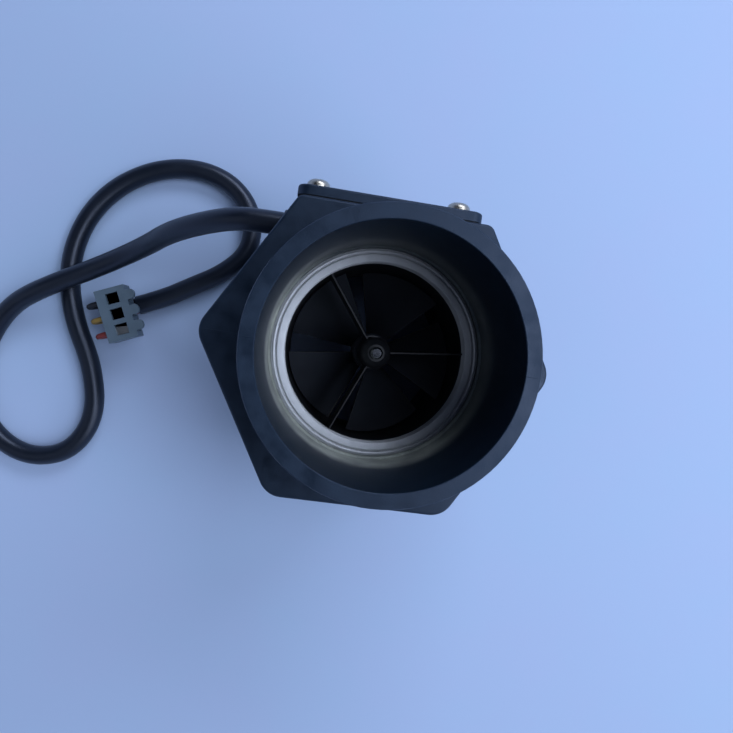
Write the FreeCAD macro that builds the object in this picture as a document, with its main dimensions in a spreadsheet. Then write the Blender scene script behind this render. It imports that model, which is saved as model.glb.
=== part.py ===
import FreeCAD, Part
import math
import os
import re
import Sketcher

# In-line turbine water flow sensor for a 2 inch pipe, in millimetres.
# +Z is the pipe axis and points against the flow, towards the inlet. The origin is the centre of the
# outlet end face, on which the sensor stands. The sensor cover faces -Y and the lead leaves towards +X.

Vector = FreeCAD.Vector

SIZES = {
    # Threaded pipe ends and the hexagon between them
    "outlet_spigot_length": 30,
    "hexagon_ring_cover": 4,
    "inlet_spigot_length": 30,
    "pipe_wall": 3.3,
    "end_chamfer": 0.6,
    "relief_depth": 1.5,
    "relief_width": 3,
    "mouth_step": 0.5,
    "mouth_chamfer": 0.5,
    "hexagon_corner_radius": 6,
    "land_corner_radius": 2.5,
    "hexagon_edge_radius": 0.8,
    # Bore steps that carry the turbine
    "throat_radius": 22.65,
    "throat_height": 4,
    "cage_wall": 2.1,
    "cage_fit_gap": 0.05,
    "ring_shoulder": 1.25,
    "ring_fit_gap": 0.02,
    "ring_entry_height": 0.6,
    # Retaining ring
    "ring_height": 4,
    "ring_land_width": 1.55,
    "ring_bevel_width": 0.55,
    "ring_groove_width": 0.4,
    "ring_groove_depth": 0.9,
    "ring_lip_drop": 0.5,
    "ring_lip_chamfer": 0.25,
    # Turbine cage and inlet guide
    "cage_height": 22,
    "guide_rim_height": 6,
    "vane_thickness": 0.8,
    "outlet_vane_height": 6,
    "inlet_vane_rise": 2,
    "inlet_vane_gap": 0.3,
    "vane_angle": 67,
    "guide_hub_radius": 4,
    "hub_seat_rise": 1,
    "hub_nose_height": 3.4,
    "hub_nose_radius": 2.1,
    # Shaft, bushes and washers
    "shaft_radius": 1.5,
    "shaft_fit_gap": 0.01,
    "shaft_chamfer": 0.4,
    "shaft_tip_rise": 1.6,
    "bush_running_gap": 0.03,
    "bush_wall": 1.1,
    "bush_length": 3.2,
    "washer_thickness": 0.5,
    "washer_rim_width": 1.9,
    "washer_gap": 0.05,
    "axial_play": 0.1,
    # Rotor
    "rotor_height": 12.8,
    "rotor_hub_radius": 5,
    "rotor_hub_relief_radius": 2.1,
    "rotor_hub_chamfer": 0.6,
    "bush_fit_gap": 0.01,
    "blade_end_margin": 0.4,
    "blade_tip_gap": 0.55,
    "blade_tip_thickness": 1.4,
    "blade_root_thickness": 2.6,
    "blade_sweep_angle": 58,
    "blade_lead_angle": 8,
    "magnet_radius": 1.5,
    "magnet_height": 3.6,
    "magnet_ring_inset": 2.7,
    "magnet_wall": 0.6,
    "magnet_fit_gap": 0.02,
    "magnet_sweep_share": 0.42,
    # Sensor cover and its screws
    "cover_shift": 2,
    "cover_height": 33,
    "cover_thickness": 2.5,
    "cover_corner_radius": 3,
    "cover_edge_radius": 0.6,
    "gasket_thickness": 0.5,
    "gasket_inset": 0.4,
    "screw_radius": 1.5,
    "screw_length": 8,
    "screw_head_radius": 3,
    "screw_head_height": 2.2,
    "screw_dome_share": 0.8,
    "screw_crown_share": 0.5,
    "recess_reach_share": 0.55,
    "recess_width_share": 0.22,
    "recess_depth_share": 0.5,
    "screw_edge_distance": 4.2,
    "screw_hole_gap": 0.2,
    "pilot_gap": 0.02,
    "pilot_spare_depth": 1,
    # Sensor pocket and board
    "pocket_width": 27,
    "pocket_height": 24,
    "pocket_floor_wall": 2.2,
    "pocket_depth": 8,
    "pocket_corner_radius": 1.5,
    "board_thickness": 1.2,
    "board_left_gap": 1,
    "board_lead_gap": 5,
    "board_side_gap": 2,
    "board_stand_off": 1.7,
    "board_post_radius": 2,
    "board_post_inset": 3.5,
    "board_screw_radius": 0.9,
    "board_screw_length": 3.5,
    "board_screw_head_radius": 1.7,
    "board_screw_head_height": 1.1,
    "hall_sensor_width": 4,
    "hall_sensor_height": 3,
    "hall_sensor_depth": 1.4,
    "chip_length": 3.2,
    "chip_width": 1.6,
    "capacitor_depth": 1.4,
    "resistor_depth": 0.6,
    # Lead and its grommet
    "lead_radius": 3.1,
    "lead_rise": 3.4,
    "lead_strip_gap": 0.5,
    "lead_bend_place": 39.3,
    "grommet_radius": 3.8,
    "grommet_stand_out": 1.6,
    "grommet_bore_gap": 0.05,
    "grommet_fit_gap": 0.02,
    "core_radius": 0.85,
    "core_spacing": 1.7,
    "core_pad_spacing": 2.6,
    "core_pad_inset": 4.5,
    "core_lift": 2.6,
    "core_straight": 1.5,
    # Plug on the end of the lead
    "plug_pitch": 5.08,
    "plug_length": 9.5,
    "plug_wall": 0.9,
    "plug_height": 6.4,
    "plug_cavity": 3.6,
    "plug_window_length": 3.9,
    "plug_window_width": 3.5,
    "plug_finger_length": 2.6,
    "plug_finger_width": 3.2,
    "plug_finger_thickness": 2,
    "plug_window_place": 0.4,
    "plug_rest_gap": 0.15,
    "core_turn_reach": 4.6,
    "core_spread_inset": 0.4,
    "terminal_width": 3,
    "terminal_height": 3,
    "terminal_wall": 0.35,
    "terminal_length": 6,
    "terminal_place": -1.9,
    "barrel_wall": 0.35,
    "barrel_gap": 0.03,
    "barrel_length": 2.6,
}

# Levels and places that several pieces share, as rules on the sizes above
HEXAGON_HEIGHT = "(cage_height + guide_rim_height + ring_height + hexagon_ring_cover)"
HEXAGON_TOP = f"outlet_spigot_length + {HEXAGON_HEIGHT}"
TOTAL = f"{HEXAGON_TOP} + inlet_spigot_length"
COVER_LEVEL = f"outlet_spigot_length + {HEXAGON_HEIGHT} / 2"
CAGE_SEAT = "outlet_spigot_length"
CAGE_TOP = f"{CAGE_SEAT} + cage_height"
GUIDE_TOP = f"{CAGE_TOP} + guide_rim_height"
RING_TOP = f"{GUIDE_TOP} + ring_height"
OUTLET_HUB_TOP = f"{CAGE_SEAT} + outlet_vane_height + hub_seat_rise"
ROTOR_BOTTOM = f"{OUTLET_HUB_TOP} + washer_thickness + axial_play"
ROTOR_TOP = f"{ROTOR_BOTTOM} + rotor_height"
INLET_HUB_BOTTOM = f"{ROTOR_TOP} + axial_play + washer_thickness"
INLET_VANE_TOP = f"{GUIDE_TOP} + inlet_vane_rise"
SHAFT_BOTTOM = f"{CAGE_SEAT} - hub_seat_rise"
SHAFT_TOP = f"{INLET_VANE_TOP} + hub_nose_height + shaft_tip_rise"
BUSH_BORE = "shaft_radius + bush_running_gap"
BUSH_RADIUS = f"{BUSH_BORE} + bush_wall"
CAGE_RADIUS = "(throat_radius + cage_wall)"
RING_RADIUS = f"({CAGE_RADIUS} + ring_shoulder)"
MOUTH_RADIUS = f"({RING_RADIUS} + mouth_step)"
THREAD_RADIUS = f"({MOUTH_RADIUS} + pipe_wall)"
RELIEF_RADIUS = f"({THREAD_RADIUS} - relief_depth)"
BLADE_TIP_RADIUS = "(throat_radius - blade_tip_gap)"
MAGNET_RING_RADIUS = f"({BLADE_TIP_RADIUS} - magnet_ring_inset)"
POCKET_FLOOR = f"{CAGE_RADIUS} + cage_fit_gap + pocket_floor_wall"
LAND = f"{POCKET_FLOOR} + pocket_depth"
COVER_SEAT = f"{LAND} + gasket_thickness"
HEXAGON_APOTHEM = f"({COVER_SEAT} + cover_thickness)"
COVER_HALF_WIDTH = f"{HEXAGON_APOTHEM} * tan(30)"
LEAD_DEPTH = f"({POCKET_FLOOR} + lead_rise)"
SCREW_PLACE = f"{COVER_HALF_WIDTH} - screw_edge_distance"
SCREW_LIFT = "cover_height / 2 - screw_edge_distance"
BOARD_UNDERSIDE = f"{POCKET_FLOOR} + board_stand_off"
BOARD_FACE = f"{BOARD_UNDERSIDE} + board_thickness"
POCKET_LEFT = "(cover_shift - pocket_width / 2)"
POCKET_RIGHT = "(cover_shift + pocket_width / 2)"
BOARD_LEFT = f"{POCKET_LEFT} + board_left_gap"
BOARD_RIGHT = f"{POCKET_RIGHT} - board_lead_gap"
BOARD_BOTTOM = f"({COVER_LEVEL} - pocket_height / 2 + board_side_gap)"
BOARD_TOP = f"({COVER_LEVEL} + pocket_height / 2 - board_side_gap)"
GROMMET_END = f"({HEXAGON_APOTHEM} - {LEAD_DEPTH} / 2) / cos(30) + grommet_stand_out"

# The lead's route past its straight way out through the grommet: down to the surface, over itself and
# round two loose loops towards the plug. Each point is chosen by hand.
LEAD_ROUTE = [
    (59.5, -26.2, 34.6),
    (71.5, -21.9, 18.6),
    (87.5, -14, 10.6),
    (104, -4.8, 10.6),
    (114.5, 2, 6.6),
    (122, 13.5, 3.1),
    (124.5, 29, 3.1),
    (119, 44, 3.1),
    (105.5, 52, 3.1),
    (91.5, 48.5, 3.1),
    (84.8, 35, 3.1),
    (88, 18.5, 3.1),
    (95.8, 4, 3.1),
    (99.5, -11.5, 3.1),
    (97.3, -27, 3.1),
    (89.5, -40, 3.1),
    (77, -49, 3.1),
    (62.5, -52.3, 3.1),
    (49.5, -48.8, 3.1),
    (41.6, -39, 3.1),
    (41.6, -27, 3.1),
    (49.4, -18.6, 3.1),
    (59, -12.8, 3.1),
]
# The plug lies on the lead's end: its middle, and the way it points, as an angle from +X
PLUG_MIDDLE = (79.5, 0.0)
PLUG_HEADING = -156.3
# Where the lead ends under the plug, along and across it from its middle, and its last straight run
LEAD_END_ON_PLUG = (5.0, 2.0)
LEAD_LAST_RUN = 9.0

BLADE_COUNT = 5
BLADE_TURN = "blade_lead_angle + blade_sweep_angle"

doc = FreeCAD.newDocument("WaterFlowSensor")
sheet = doc.addObject("Spreadsheet::Sheet", "Sizes")
nodes = []


def fill_sheet():
    """Put each size in the sheet, with its name as the cell's alias."""
    for row, (name, number) in enumerate(SIZES.items(), start=1):
        sheet.set(f"A{row}", name)
        sheet.set(f"B{row}", str(number))
        sheet.setAlias(f"B{row}", name)
    doc.recompute()


def bound(rule):
    """A rule written with plain size names, as an expression on the sheet."""
    return re.sub(r"\b(?!(?:sin|cos|tan|sqrt)\b)([a-z][a-z_]+)\b", r"Sizes.\1", rule)


def size(rule):
    """The number that a rule gives."""
    return float(sheet.evalExpression(bound(rule)))


def keep(piece):
    """Count an object as a sub-part that is written to a file of its own."""
    nodes.append(piece)
    return piece


def new_body(label):
    """A body for one sub-part."""
    body = doc.addObject("PartDesign::Body", label)
    body.Label = label
    return keep(body)


def new_sketch(body, name, role, offset="0"):
    """An empty sketch on one of the body's own planes, moved along the plane's normal."""
    sketch = body.newObject("Sketcher::SketchObject", name)
    plane = next(item for item in body.Origin.OriginFeatures if item.Role == role)
    sketch.AttachmentSupport = [(plane, "")]
    sketch.MapMode = "FlatFace"
    sketch.setExpression(".AttachmentOffset.Base.z", bound(offset))
    return sketch


def pin_point(sketch, line, end, x_rule, y_rule):
    """Hold one point of a sketch at the place that two rules give."""
    for kind, rule in (("DistanceX", x_rule), ("DistanceY", y_rule)):
        place = size(rule)
        number = sketch.addConstraint(Sketcher.Constraint(kind, -1, 1, line, end, place))
        sketch.setExpression(f"Constraints[{number}]", bound(rule))


def draw_outline(sketch, corners):
    """Draw a closed outline of straight lines through corners given as pairs of rules."""
    first = sketch.GeometryCount
    spots = [Vector(size(x_rule), size(y_rule), 0) for x_rule, y_rule in corners]
    count = len(spots)
    for index, spot in enumerate(spots):
        sketch.addGeometry(Part.LineSegment(spot, spots[(index + 1) % count]))
    for index in range(count):
        following = first + (index + 1) % count
        sketch.addConstraint(Sketcher.Constraint("Coincident", first + index, 2, following, 1))
    for index, (x_rule, y_rule) in enumerate(corners):
        pin_point(sketch, first + index, 1, x_rule, y_rule)


def draw_circle(sketch, x_rule, y_rule, radius_rule):
    """Draw a circle from rules for its centre and radius."""
    centre = Vector(size(x_rule), size(y_rule), 0)
    line = sketch.addGeometry(Part.Circle(centre, Vector(0, 0, 1), size(radius_rule)))
    pin_point(sketch, line, 3, x_rule, y_rule)
    number = sketch.addConstraint(Sketcher.Constraint("Radius", line, size(radius_rule)))
    sketch.setExpression(f"Constraints[{number}]", bound(radius_rule))


def box_corners(left, right, low, high):
    """The four corners of a rectangle, as rules."""
    return [(left, low), (right, low), (right, high), (left, high)]


def turn(body, name, corners):
    """Turn a closed outline of radius and height once round the body's Z axis."""
    sketch = new_sketch(body, name + "Profile", "XZ_Plane")
    draw_outline(sketch, corners)
    feature = body.newObject("PartDesign::Revolution", name)
    feature.Profile = sketch
    feature.ReferenceAxis = (sketch, ["V_Axis"])
    feature.Angle = 360
    doc.recompute()
    return feature


def turn_away(body, name, corners):
    """Cut a closed outline of radius and height, turned once round the Z axis, from the body."""
    before = body.Shape.Volume
    sketch = new_sketch(body, name + "Profile", "XZ_Plane")
    draw_outline(sketch, corners)
    feature = body.newObject("PartDesign::Groove", name)
    feature.Profile = sketch
    feature.ReferenceAxis = (sketch, ["V_Axis"])
    feature.Angle = 360
    doc.recompute()
    check_cut(name, before, body.Shape.Volume)
    return feature


def extrude(body, sketch, name, length, backwards=False):
    """Pad a sketch by a length given as a rule."""
    doc.recompute()
    feature = body.newObject("PartDesign::Pad", name)
    feature.Profile = sketch
    feature.setExpression("Length", bound(length))
    feature.Reversed = backwards
    doc.recompute()
    return feature


def cut(body, sketch, name, depth, backwards=False):
    """Pocket a sketch to a depth given as a rule, and make sure that it takes material away."""
    doc.recompute()
    before = body.Shape.Volume
    feature = body.newObject("PartDesign::Pocket", name)
    feature.Profile = sketch
    feature.setExpression("Length", bound(depth))
    feature.Reversed = backwards
    doc.recompute()
    check_cut(name, before, body.Shape.Volume)
    return feature


def check_cut(name, before, after):
    """Stop if a cut took nothing away."""
    if after > before - 1e-3:
        raise RuntimeError(f"{name} cuts nothing")


def around(body, name, originals, copies):
    """Repeat features round the Z axis."""
    pattern = body.newObject("PartDesign::PolarPattern", name)
    pattern.Originals = originals
    pattern.Axis = (originals[0].Profile[0], ["V_Axis"])
    pattern.Angle = 360
    pattern.Occurrences = copies
    body.Tip = pattern
    doc.recompute()
    return pattern


def edge_names(shape, wanted):
    """The names of a shape's edges that pass a test."""
    return [f"Edge{number}" for number, edge in enumerate(shape.Edges, start=1) if wanted(edge)]


def ends(edge):
    """The two end points of an edge."""
    return edge.Vertexes[0].Point, edge.Vertexes[-1].Point


def is_along(edge, axis):
    """Whether a straight edge runs along an axis."""
    start, finish = ends(edge)
    run = finish - start
    return run.Length > 1e-6 and abs(run.dot(axis)) > 0.9999 * run.Length


def round_edges(body, name, names, radius):
    """Fillet edges of the body's last feature."""
    feature = body.newObject("PartDesign::Fillet", name)
    feature.Base = (feature.BaseFeature, names)
    feature.setExpression("Radius", bound(radius))
    doc.recompute()
    return feature


def make_housing():
    """The moulded housing: two threaded ends, the hexagon, the stepped bore and the sensor pocket."""
    body = new_body("housing")
    ramp = "relief_depth"
    turn(
        body,
        "PipeEnds",
        [
            ("0", "0"),
            (f"{THREAD_RADIUS} - end_chamfer", "0"),
            (THREAD_RADIUS, "end_chamfer"),
            (THREAD_RADIUS, "outlet_spigot_length - relief_width"),
            (RELIEF_RADIUS, f"outlet_spigot_length - relief_width + {ramp}"),
            (RELIEF_RADIUS, f"{HEXAGON_TOP} + relief_width - {ramp}"),
            (THREAD_RADIUS, f"{HEXAGON_TOP} + relief_width"),
            (THREAD_RADIUS, f"{TOTAL} - end_chamfer"),
            (f"{THREAD_RADIUS} - end_chamfer", TOTAL),
            ("0", TOTAL),
        ],
    )
    corner = f"{HEXAGON_APOTHEM} / cos(30)"
    land_corner = f"{corner} - ({LAND}) * tan(30)"
    hexagon = new_sketch(body, "HexagonOutline", "XY_Plane", "outlet_spigot_length")
    draw_outline(
        hexagon,
        [
            (corner, "0"),
            (f"{corner} / 2", HEXAGON_APOTHEM),
            (f"-{corner} / 2", HEXAGON_APOTHEM),
            (f"-{corner}", "0"),
            (f"-({land_corner})", f"-({LAND})"),
            (land_corner, f"-({LAND})"),
        ],
    )
    pad = extrude(body, hexagon, "Hexagon", HEXAGON_HEIGHT)
    upright = Vector(0, 0, 1)
    wide = size(THREAD_RADIUS) + 1
    land = size(LAND)

    def is_corner(edge):
        spot = edge.CenterOfMass
        return is_along(edge, upright) and math.hypot(spot.x, spot.y) > wide

    big = edge_names(pad.Shape, lambda edge: is_corner(edge) and edge.CenterOfMass.y > -land + 1)
    round_edges(body, "HexagonCorners", big, "hexagon_corner_radius")
    small = edge_names(
        body.Shape,
        lambda edge: is_corner(edge) and abs(edge.CenterOfMass.y + land) < 1e-4,
    )
    round_edges(body, "LandCorners", small, "land_corner_radius")
    levels = (size("outlet_spigot_length"), size(HEXAGON_TOP))

    def is_rim(edge):
        spot = edge.CenterOfMass
        flat = abs(ends(edge)[0].z - ends(edge)[1].z) < 1e-6
        level = min(abs(spot.z - level) for level in levels) < 1e-6
        return flat and level and math.hypot(ends(edge)[0].x, ends(edge)[0].y) > wide

    round_edges(body, "HexagonEdges", edge_names(body.Shape, is_rim), "hexagon_edge_radius")
    make_bore(body)
    make_pocket(body)


def make_bore(body):
    """Cut the stepped bore: the two mouths, the throat, and the seats of the cage and the ring."""
    cage_bore = f"{CAGE_RADIUS} + cage_fit_gap"
    ring_bore = f"{RING_RADIUS} + ring_fit_gap"
    cone = f"({MOUTH_RADIUS} - throat_radius)"
    entry = f"{RING_TOP} + ring_entry_height"
    turn_away(
        body,
        "Bore",
        [
            ("0", "0"),
            (f"{MOUTH_RADIUS} + mouth_chamfer", "0"),
            (MOUTH_RADIUS, "mouth_chamfer"),
            (MOUTH_RADIUS, f"{CAGE_SEAT} - throat_height - {cone}"),
            ("throat_radius", f"{CAGE_SEAT} - throat_height"),
            ("throat_radius", CAGE_SEAT),
            (cage_bore, CAGE_SEAT),
            (cage_bore, GUIDE_TOP),
            (ring_bore, GUIDE_TOP),
            (ring_bore, entry),
            (MOUTH_RADIUS, f"{entry} + {MOUTH_RADIUS} - ({ring_bore})"),
            (MOUTH_RADIUS, f"{TOTAL} - mouth_chamfer"),
            (f"{MOUTH_RADIUS} + mouth_chamfer", TOTAL),
            ("0", TOTAL),
        ],
    )


def board_posts():
    """The places of the two posts that carry the board, as rules."""
    return [
        (f"{BOARD_LEFT} + board_post_inset", f"{BOARD_TOP} - board_post_inset"),
        (f"{BOARD_RIGHT} - board_post_inset", f"{BOARD_BOTTOM} + board_post_inset"),
    ]


def cover_screw_places():
    """The places of the four cover screws, as rules."""
    return [
        (f"cover_shift {side} ({SCREW_PLACE})", f"{COVER_LEVEL} {lift} ({SCREW_LIFT})")
        for side in ("+", "-")
        for lift in ("-", "+")
    ]


def make_pocket(body):
    """Cut the sensor pocket with its posts, the lead's hole and the screws' pilot holes."""
    opening = new_sketch(body, "PocketOutline", "XZ_Plane", LAND)
    low = f"{COVER_LEVEL} - pocket_height / 2"
    high = f"{COVER_LEVEL} + pocket_height / 2"
    draw_outline(opening, box_corners(POCKET_LEFT, POCKET_RIGHT, low, high))
    cut(body, opening, "Pocket", "pocket_depth")
    walls = (size(POCKET_LEFT), size(POCKET_RIGHT))
    inward = Vector(0, 1, 0)
    corners = edge_names(
        body.Shape,
        lambda edge: is_along(edge, inward)
        and min(abs(edge.CenterOfMass.x - wall) for wall in walls) < 1e-4,
    )
    round_edges(body, "PocketCorners", corners, "pocket_corner_radius")
    posts = new_sketch(body, "PostOutlines", "XZ_Plane", POCKET_FLOOR)
    for x_rule, z_rule in board_posts():
        draw_circle(posts, x_rule, z_rule, "board_post_radius")
    extrude(body, posts, "Posts", "board_stand_off")
    post_holes = new_sketch(body, "PostHoleOutlines", "XZ_Plane", BOARD_UNDERSIDE)
    for x_rule, z_rule in board_posts():
        draw_circle(post_holes, x_rule, z_rule, "board_screw_radius + pilot_gap")
    cut(body, post_holes, "PostHoles", "board_screw_length - board_thickness + pilot_gap")
    pilots = new_sketch(body, "PilotOutlines", "XZ_Plane", LAND)
    for x_rule, z_rule in cover_screw_places():
        draw_circle(pilots, x_rule, z_rule, "screw_radius + pilot_gap")
    depth = "screw_length - cover_thickness - gasket_thickness + pilot_spare_depth"
    cut(body, pilots, "PilotHoles", depth)
    passage = new_sketch(body, "LeadHoleOutline", "YZ_Plane", f"{POCKET_RIGHT} - pocket_corner_radius")
    draw_circle(passage, f"-{LEAD_DEPTH}", COVER_LEVEL, "grommet_radius + grommet_fit_gap")
    cut(body, passage, "LeadHole", HEXAGON_APOTHEM, backwards=True)


def make_retaining_ring():
    """The turned stainless ring that holds the turbine in, with a bevel and a groove round its face."""
    body = new_body("retaining_ring")
    land = "throat_radius + ring_land_width"
    bevel = f"{land} + ring_bevel_width"
    groove = f"{bevel} + ring_groove_width"
    lip = f"{RING_TOP} - ring_lip_drop"
    turn(
        body,
        "Ring",
        [
            ("throat_radius", GUIDE_TOP),
            (RING_RADIUS, GUIDE_TOP),
            (RING_RADIUS, f"{lip} - ring_lip_chamfer"),
            (f"{RING_RADIUS} - ring_lip_chamfer", lip),
            (groove, lip),
            (groove, f"{RING_TOP} - ring_groove_depth"),
            (bevel, f"{RING_TOP} - ring_groove_depth"),
            (bevel, f"{RING_TOP} - ring_bevel_width"),
            (land, RING_TOP),
            ("throat_radius", RING_TOP),
        ],
    )


def add_vanes(body, corners):
    """Add three flat vanes round the axis from the outline of one."""
    sketch = new_sketch(body, "VaneOutline", "XZ_Plane")
    draw_outline(sketch, corners)
    vane = extrude(body, sketch, "Vane", "vane_thickness")
    vane.Midplane = True
    doc.recompute()
    return around(body, "Vanes", [vane], 3)


def turn_to(body, angle_rule):
    """Turn a finished sub-part about the pipe axis by a rule's angle."""
    body.Placement = FreeCAD.Placement(Vector(0, 0, 0), Vector(0, 0, 1), size(angle_rule))
    body.setExpression("Placement.Rotation.Angle", bound(angle_rule))
    doc.recompute()


def shaft_bore(body, low, high):
    """Cut the shaft's press-fit hole between two levels."""
    radius = "shaft_radius + shaft_fit_gap"
    turn_away(body, "ShaftHole", box_corners("0", radius, low, high))


def make_turbine_cage():
    """The sleeve that the rotor turns in, with the three outlet vanes and the lower shaft hub."""
    body = new_body("turbine_cage")
    turn(body, "Sleeve", box_corners("throat_radius", CAGE_RADIUS, CAGE_SEAT, CAGE_TOP))
    reach = f"(throat_radius + {CAGE_RADIUS}) / 2"
    vane_top = f"{CAGE_SEAT} + outlet_vane_height"
    add_vanes(body, box_corners("0", reach, CAGE_SEAT, vane_top))
    nose = f"{CAGE_SEAT} - hub_nose_height"
    turn(
        body,
        "Hub",
        [
            ("0", nose),
            ("hub_nose_radius", nose),
            ("guide_hub_radius", CAGE_SEAT),
            ("guide_hub_radius", OUTLET_HUB_TOP),
            ("0", OUTLET_HUB_TOP),
        ],
    )
    shaft_bore(body, SHAFT_BOTTOM, f"{OUTLET_HUB_TOP} + 1")
    turn_to(body, "vane_angle")


def make_inlet_guide():
    """The inlet guide: a rim, three thin vanes and the hub that holds the shaft's upper end."""
    body = new_body("inlet_guide")
    turn(body, "Rim", box_corners("throat_radius", CAGE_RADIUS, CAGE_TOP, GUIDE_TOP))
    reach = f"(throat_radius + {CAGE_RADIUS}) / 2"
    inside_ring = "throat_radius - inlet_vane_gap"
    add_vanes(
        body,
        [
            ("0", CAGE_TOP),
            (reach, CAGE_TOP),
            (reach, GUIDE_TOP),
            (inside_ring, GUIDE_TOP),
            (inside_ring, INLET_VANE_TOP),
            ("0", INLET_VANE_TOP),
        ],
    )
    nose = f"{INLET_VANE_TOP} + hub_nose_height"
    taper = "(guide_hub_radius - hub_nose_radius) * 3 / 4"
    turn(
        body,
        "Hub",
        [
            ("0", INLET_HUB_BOTTOM),
            ("guide_hub_radius", INLET_HUB_BOTTOM),
            ("guide_hub_radius", INLET_VANE_TOP),
            (f"hub_nose_radius + {taper}", f"{nose} - hub_nose_height / 2"),
            ("hub_nose_radius", nose),
            ("0", nose),
        ],
    )
    shaft_bore(body, f"{INLET_HUB_BOTTOM} - 1", f"{nose} + 1")
    turn_to(body, "vane_angle")


def make_rotor_shaft():
    """The fixed steel shaft, bevelled at both ends."""
    body = new_body("rotor_shaft")
    turn(
        body,
        "Shaft",
        [
            ("0", SHAFT_BOTTOM),
            ("shaft_radius - shaft_chamfer", SHAFT_BOTTOM),
            ("shaft_radius", f"{SHAFT_BOTTOM} + shaft_chamfer"),
            ("shaft_radius", f"{SHAFT_TOP} - shaft_chamfer"),
            ("shaft_radius - shaft_chamfer", SHAFT_TOP),
            ("0", SHAFT_TOP),
        ],
    )


def make_bushes_and_washers():
    """The rotor's two bearing bushes, and the thrust washers above and below it."""
    bushes = {
        "outlet_bush": (ROTOR_BOTTOM, f"{ROTOR_BOTTOM} + bush_length"),
        "inlet_bush": (f"{ROTOR_TOP} - bush_length", ROTOR_TOP),
    }
    for label, (low, high) in bushes.items():
        turn(new_body(label), "Bush", box_corners(BUSH_BORE, BUSH_RADIUS, low, high))
    washers = {
        "outlet_washer": (OUTLET_HUB_TOP, f"{OUTLET_HUB_TOP} + washer_thickness"),
        "inlet_washer": (f"{ROTOR_TOP} + axial_play", INLET_HUB_BOTTOM),
    }
    hole = "shaft_radius + washer_gap"
    for label, (low, high) in washers.items():
        turn(new_body(label), "Washer", box_corners(hole, f"{hole} + washer_rim_width", low, high))


def make_rotor():
    """The rotor: a hub with two bush seats and five helical blades with a magnet boss under each."""
    body = new_body("rotor")
    seat = f"{BUSH_RADIUS} + bush_fit_gap"
    turn(
        body,
        "Hub",
        [
            (seat, ROTOR_BOTTOM),
            ("rotor_hub_radius - rotor_hub_chamfer", ROTOR_BOTTOM),
            ("rotor_hub_radius", f"{ROTOR_BOTTOM} + rotor_hub_chamfer"),
            ("rotor_hub_radius", f"{ROTOR_TOP} - rotor_hub_chamfer"),
            ("rotor_hub_radius - rotor_hub_chamfer", ROTOR_TOP),
            (seat, ROTOR_TOP),
            (seat, f"{ROTOR_TOP} - bush_length"),
            ("rotor_hub_relief_radius", f"{ROTOR_TOP} - bush_length"),
            ("rotor_hub_relief_radius", f"{ROTOR_BOTTOM} + bush_length"),
            (seat, f"{ROTOR_BOTTOM} + bush_length"),
        ],
    )
    start = f"{ROTOR_BOTTOM} + blade_end_margin"
    root = "rotor_hub_radius - blade_end_margin"
    section = new_sketch(body, "BladeSection", "XZ_Plane")
    draw_outline(
        section,
        [
            (root, start),
            (BLADE_TIP_RADIUS, start),
            (BLADE_TIP_RADIUS, f"{start} + blade_tip_thickness"),
            (root, f"{start} + blade_root_thickness"),
        ],
    )
    doc.recompute()
    rise = "(rotor_height - blade_root_thickness - 2 * blade_end_margin)"
    blade = body.newObject("PartDesign::AdditiveHelix", "Blade")
    blade.Profile = section
    blade.ReferenceAxis = (section, ["V_Axis"])
    blade.Mode = 0
    blade.LeftHanded = True
    blade.setExpression("Pitch", bound(f"{rise} * 360 / blade_sweep_angle"))
    blade.setExpression("Height", bound(rise))
    doc.recompute()
    x_rule, y_rule = magnet_place("0")
    boss_outline = new_sketch(body, "BossOutline", "XY_Plane", start)
    draw_circle(boss_outline, x_rule, y_rule, "magnet_radius + magnet_wall")
    boss = extrude(body, boss_outline, "Boss", "magnet_height + magnet_wall")
    hole_outline = new_sketch(body, "MagnetHoleOutline", "XY_Plane", start)
    draw_circle(hole_outline, x_rule, y_rule, "magnet_radius + magnet_fit_gap")
    hole = cut(body, hole_outline, "MagnetHole", "magnet_height", backwards=True)
    around(body, "Blades", [blade, boss, hole], BLADE_COUNT)
    turn_to(body, BLADE_TURN)


def magnet_place(turn_rule):
    """The place of a magnet on the rotor, turned by a rule's angle, as rules."""
    angle = f"{turn_rule} - magnet_sweep_share * blade_sweep_angle"
    return f"{MAGNET_RING_RADIUS} * cos({angle})", f"{MAGNET_RING_RADIUS} * sin({angle})"


def make_rotor_magnets():
    """One round magnet in the boss under each blade."""
    magnets = []
    for number in range(BLADE_COUNT):
        magnet = doc.addObject("Part::Cylinder", f"Magnet{number + 1}")
        x_rule, y_rule = magnet_place(f"{BLADE_TURN} + {360 * number / BLADE_COUNT:g}")
        magnet.setExpression("Radius", bound("magnet_radius"))
        magnet.setExpression("Height", bound("magnet_height"))
        magnet.setExpression("Placement.Base.x", bound(x_rule))
        magnet.setExpression("Placement.Base.y", bound(y_rule))
        magnet.setExpression("Placement.Base.z", bound(f"{ROTOR_BOTTOM} + blade_end_margin"))
        magnets.append(magnet)
    group = doc.addObject("Part::Compound", "rotor_magnets")
    group.Links = magnets
    keep(group)


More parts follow.
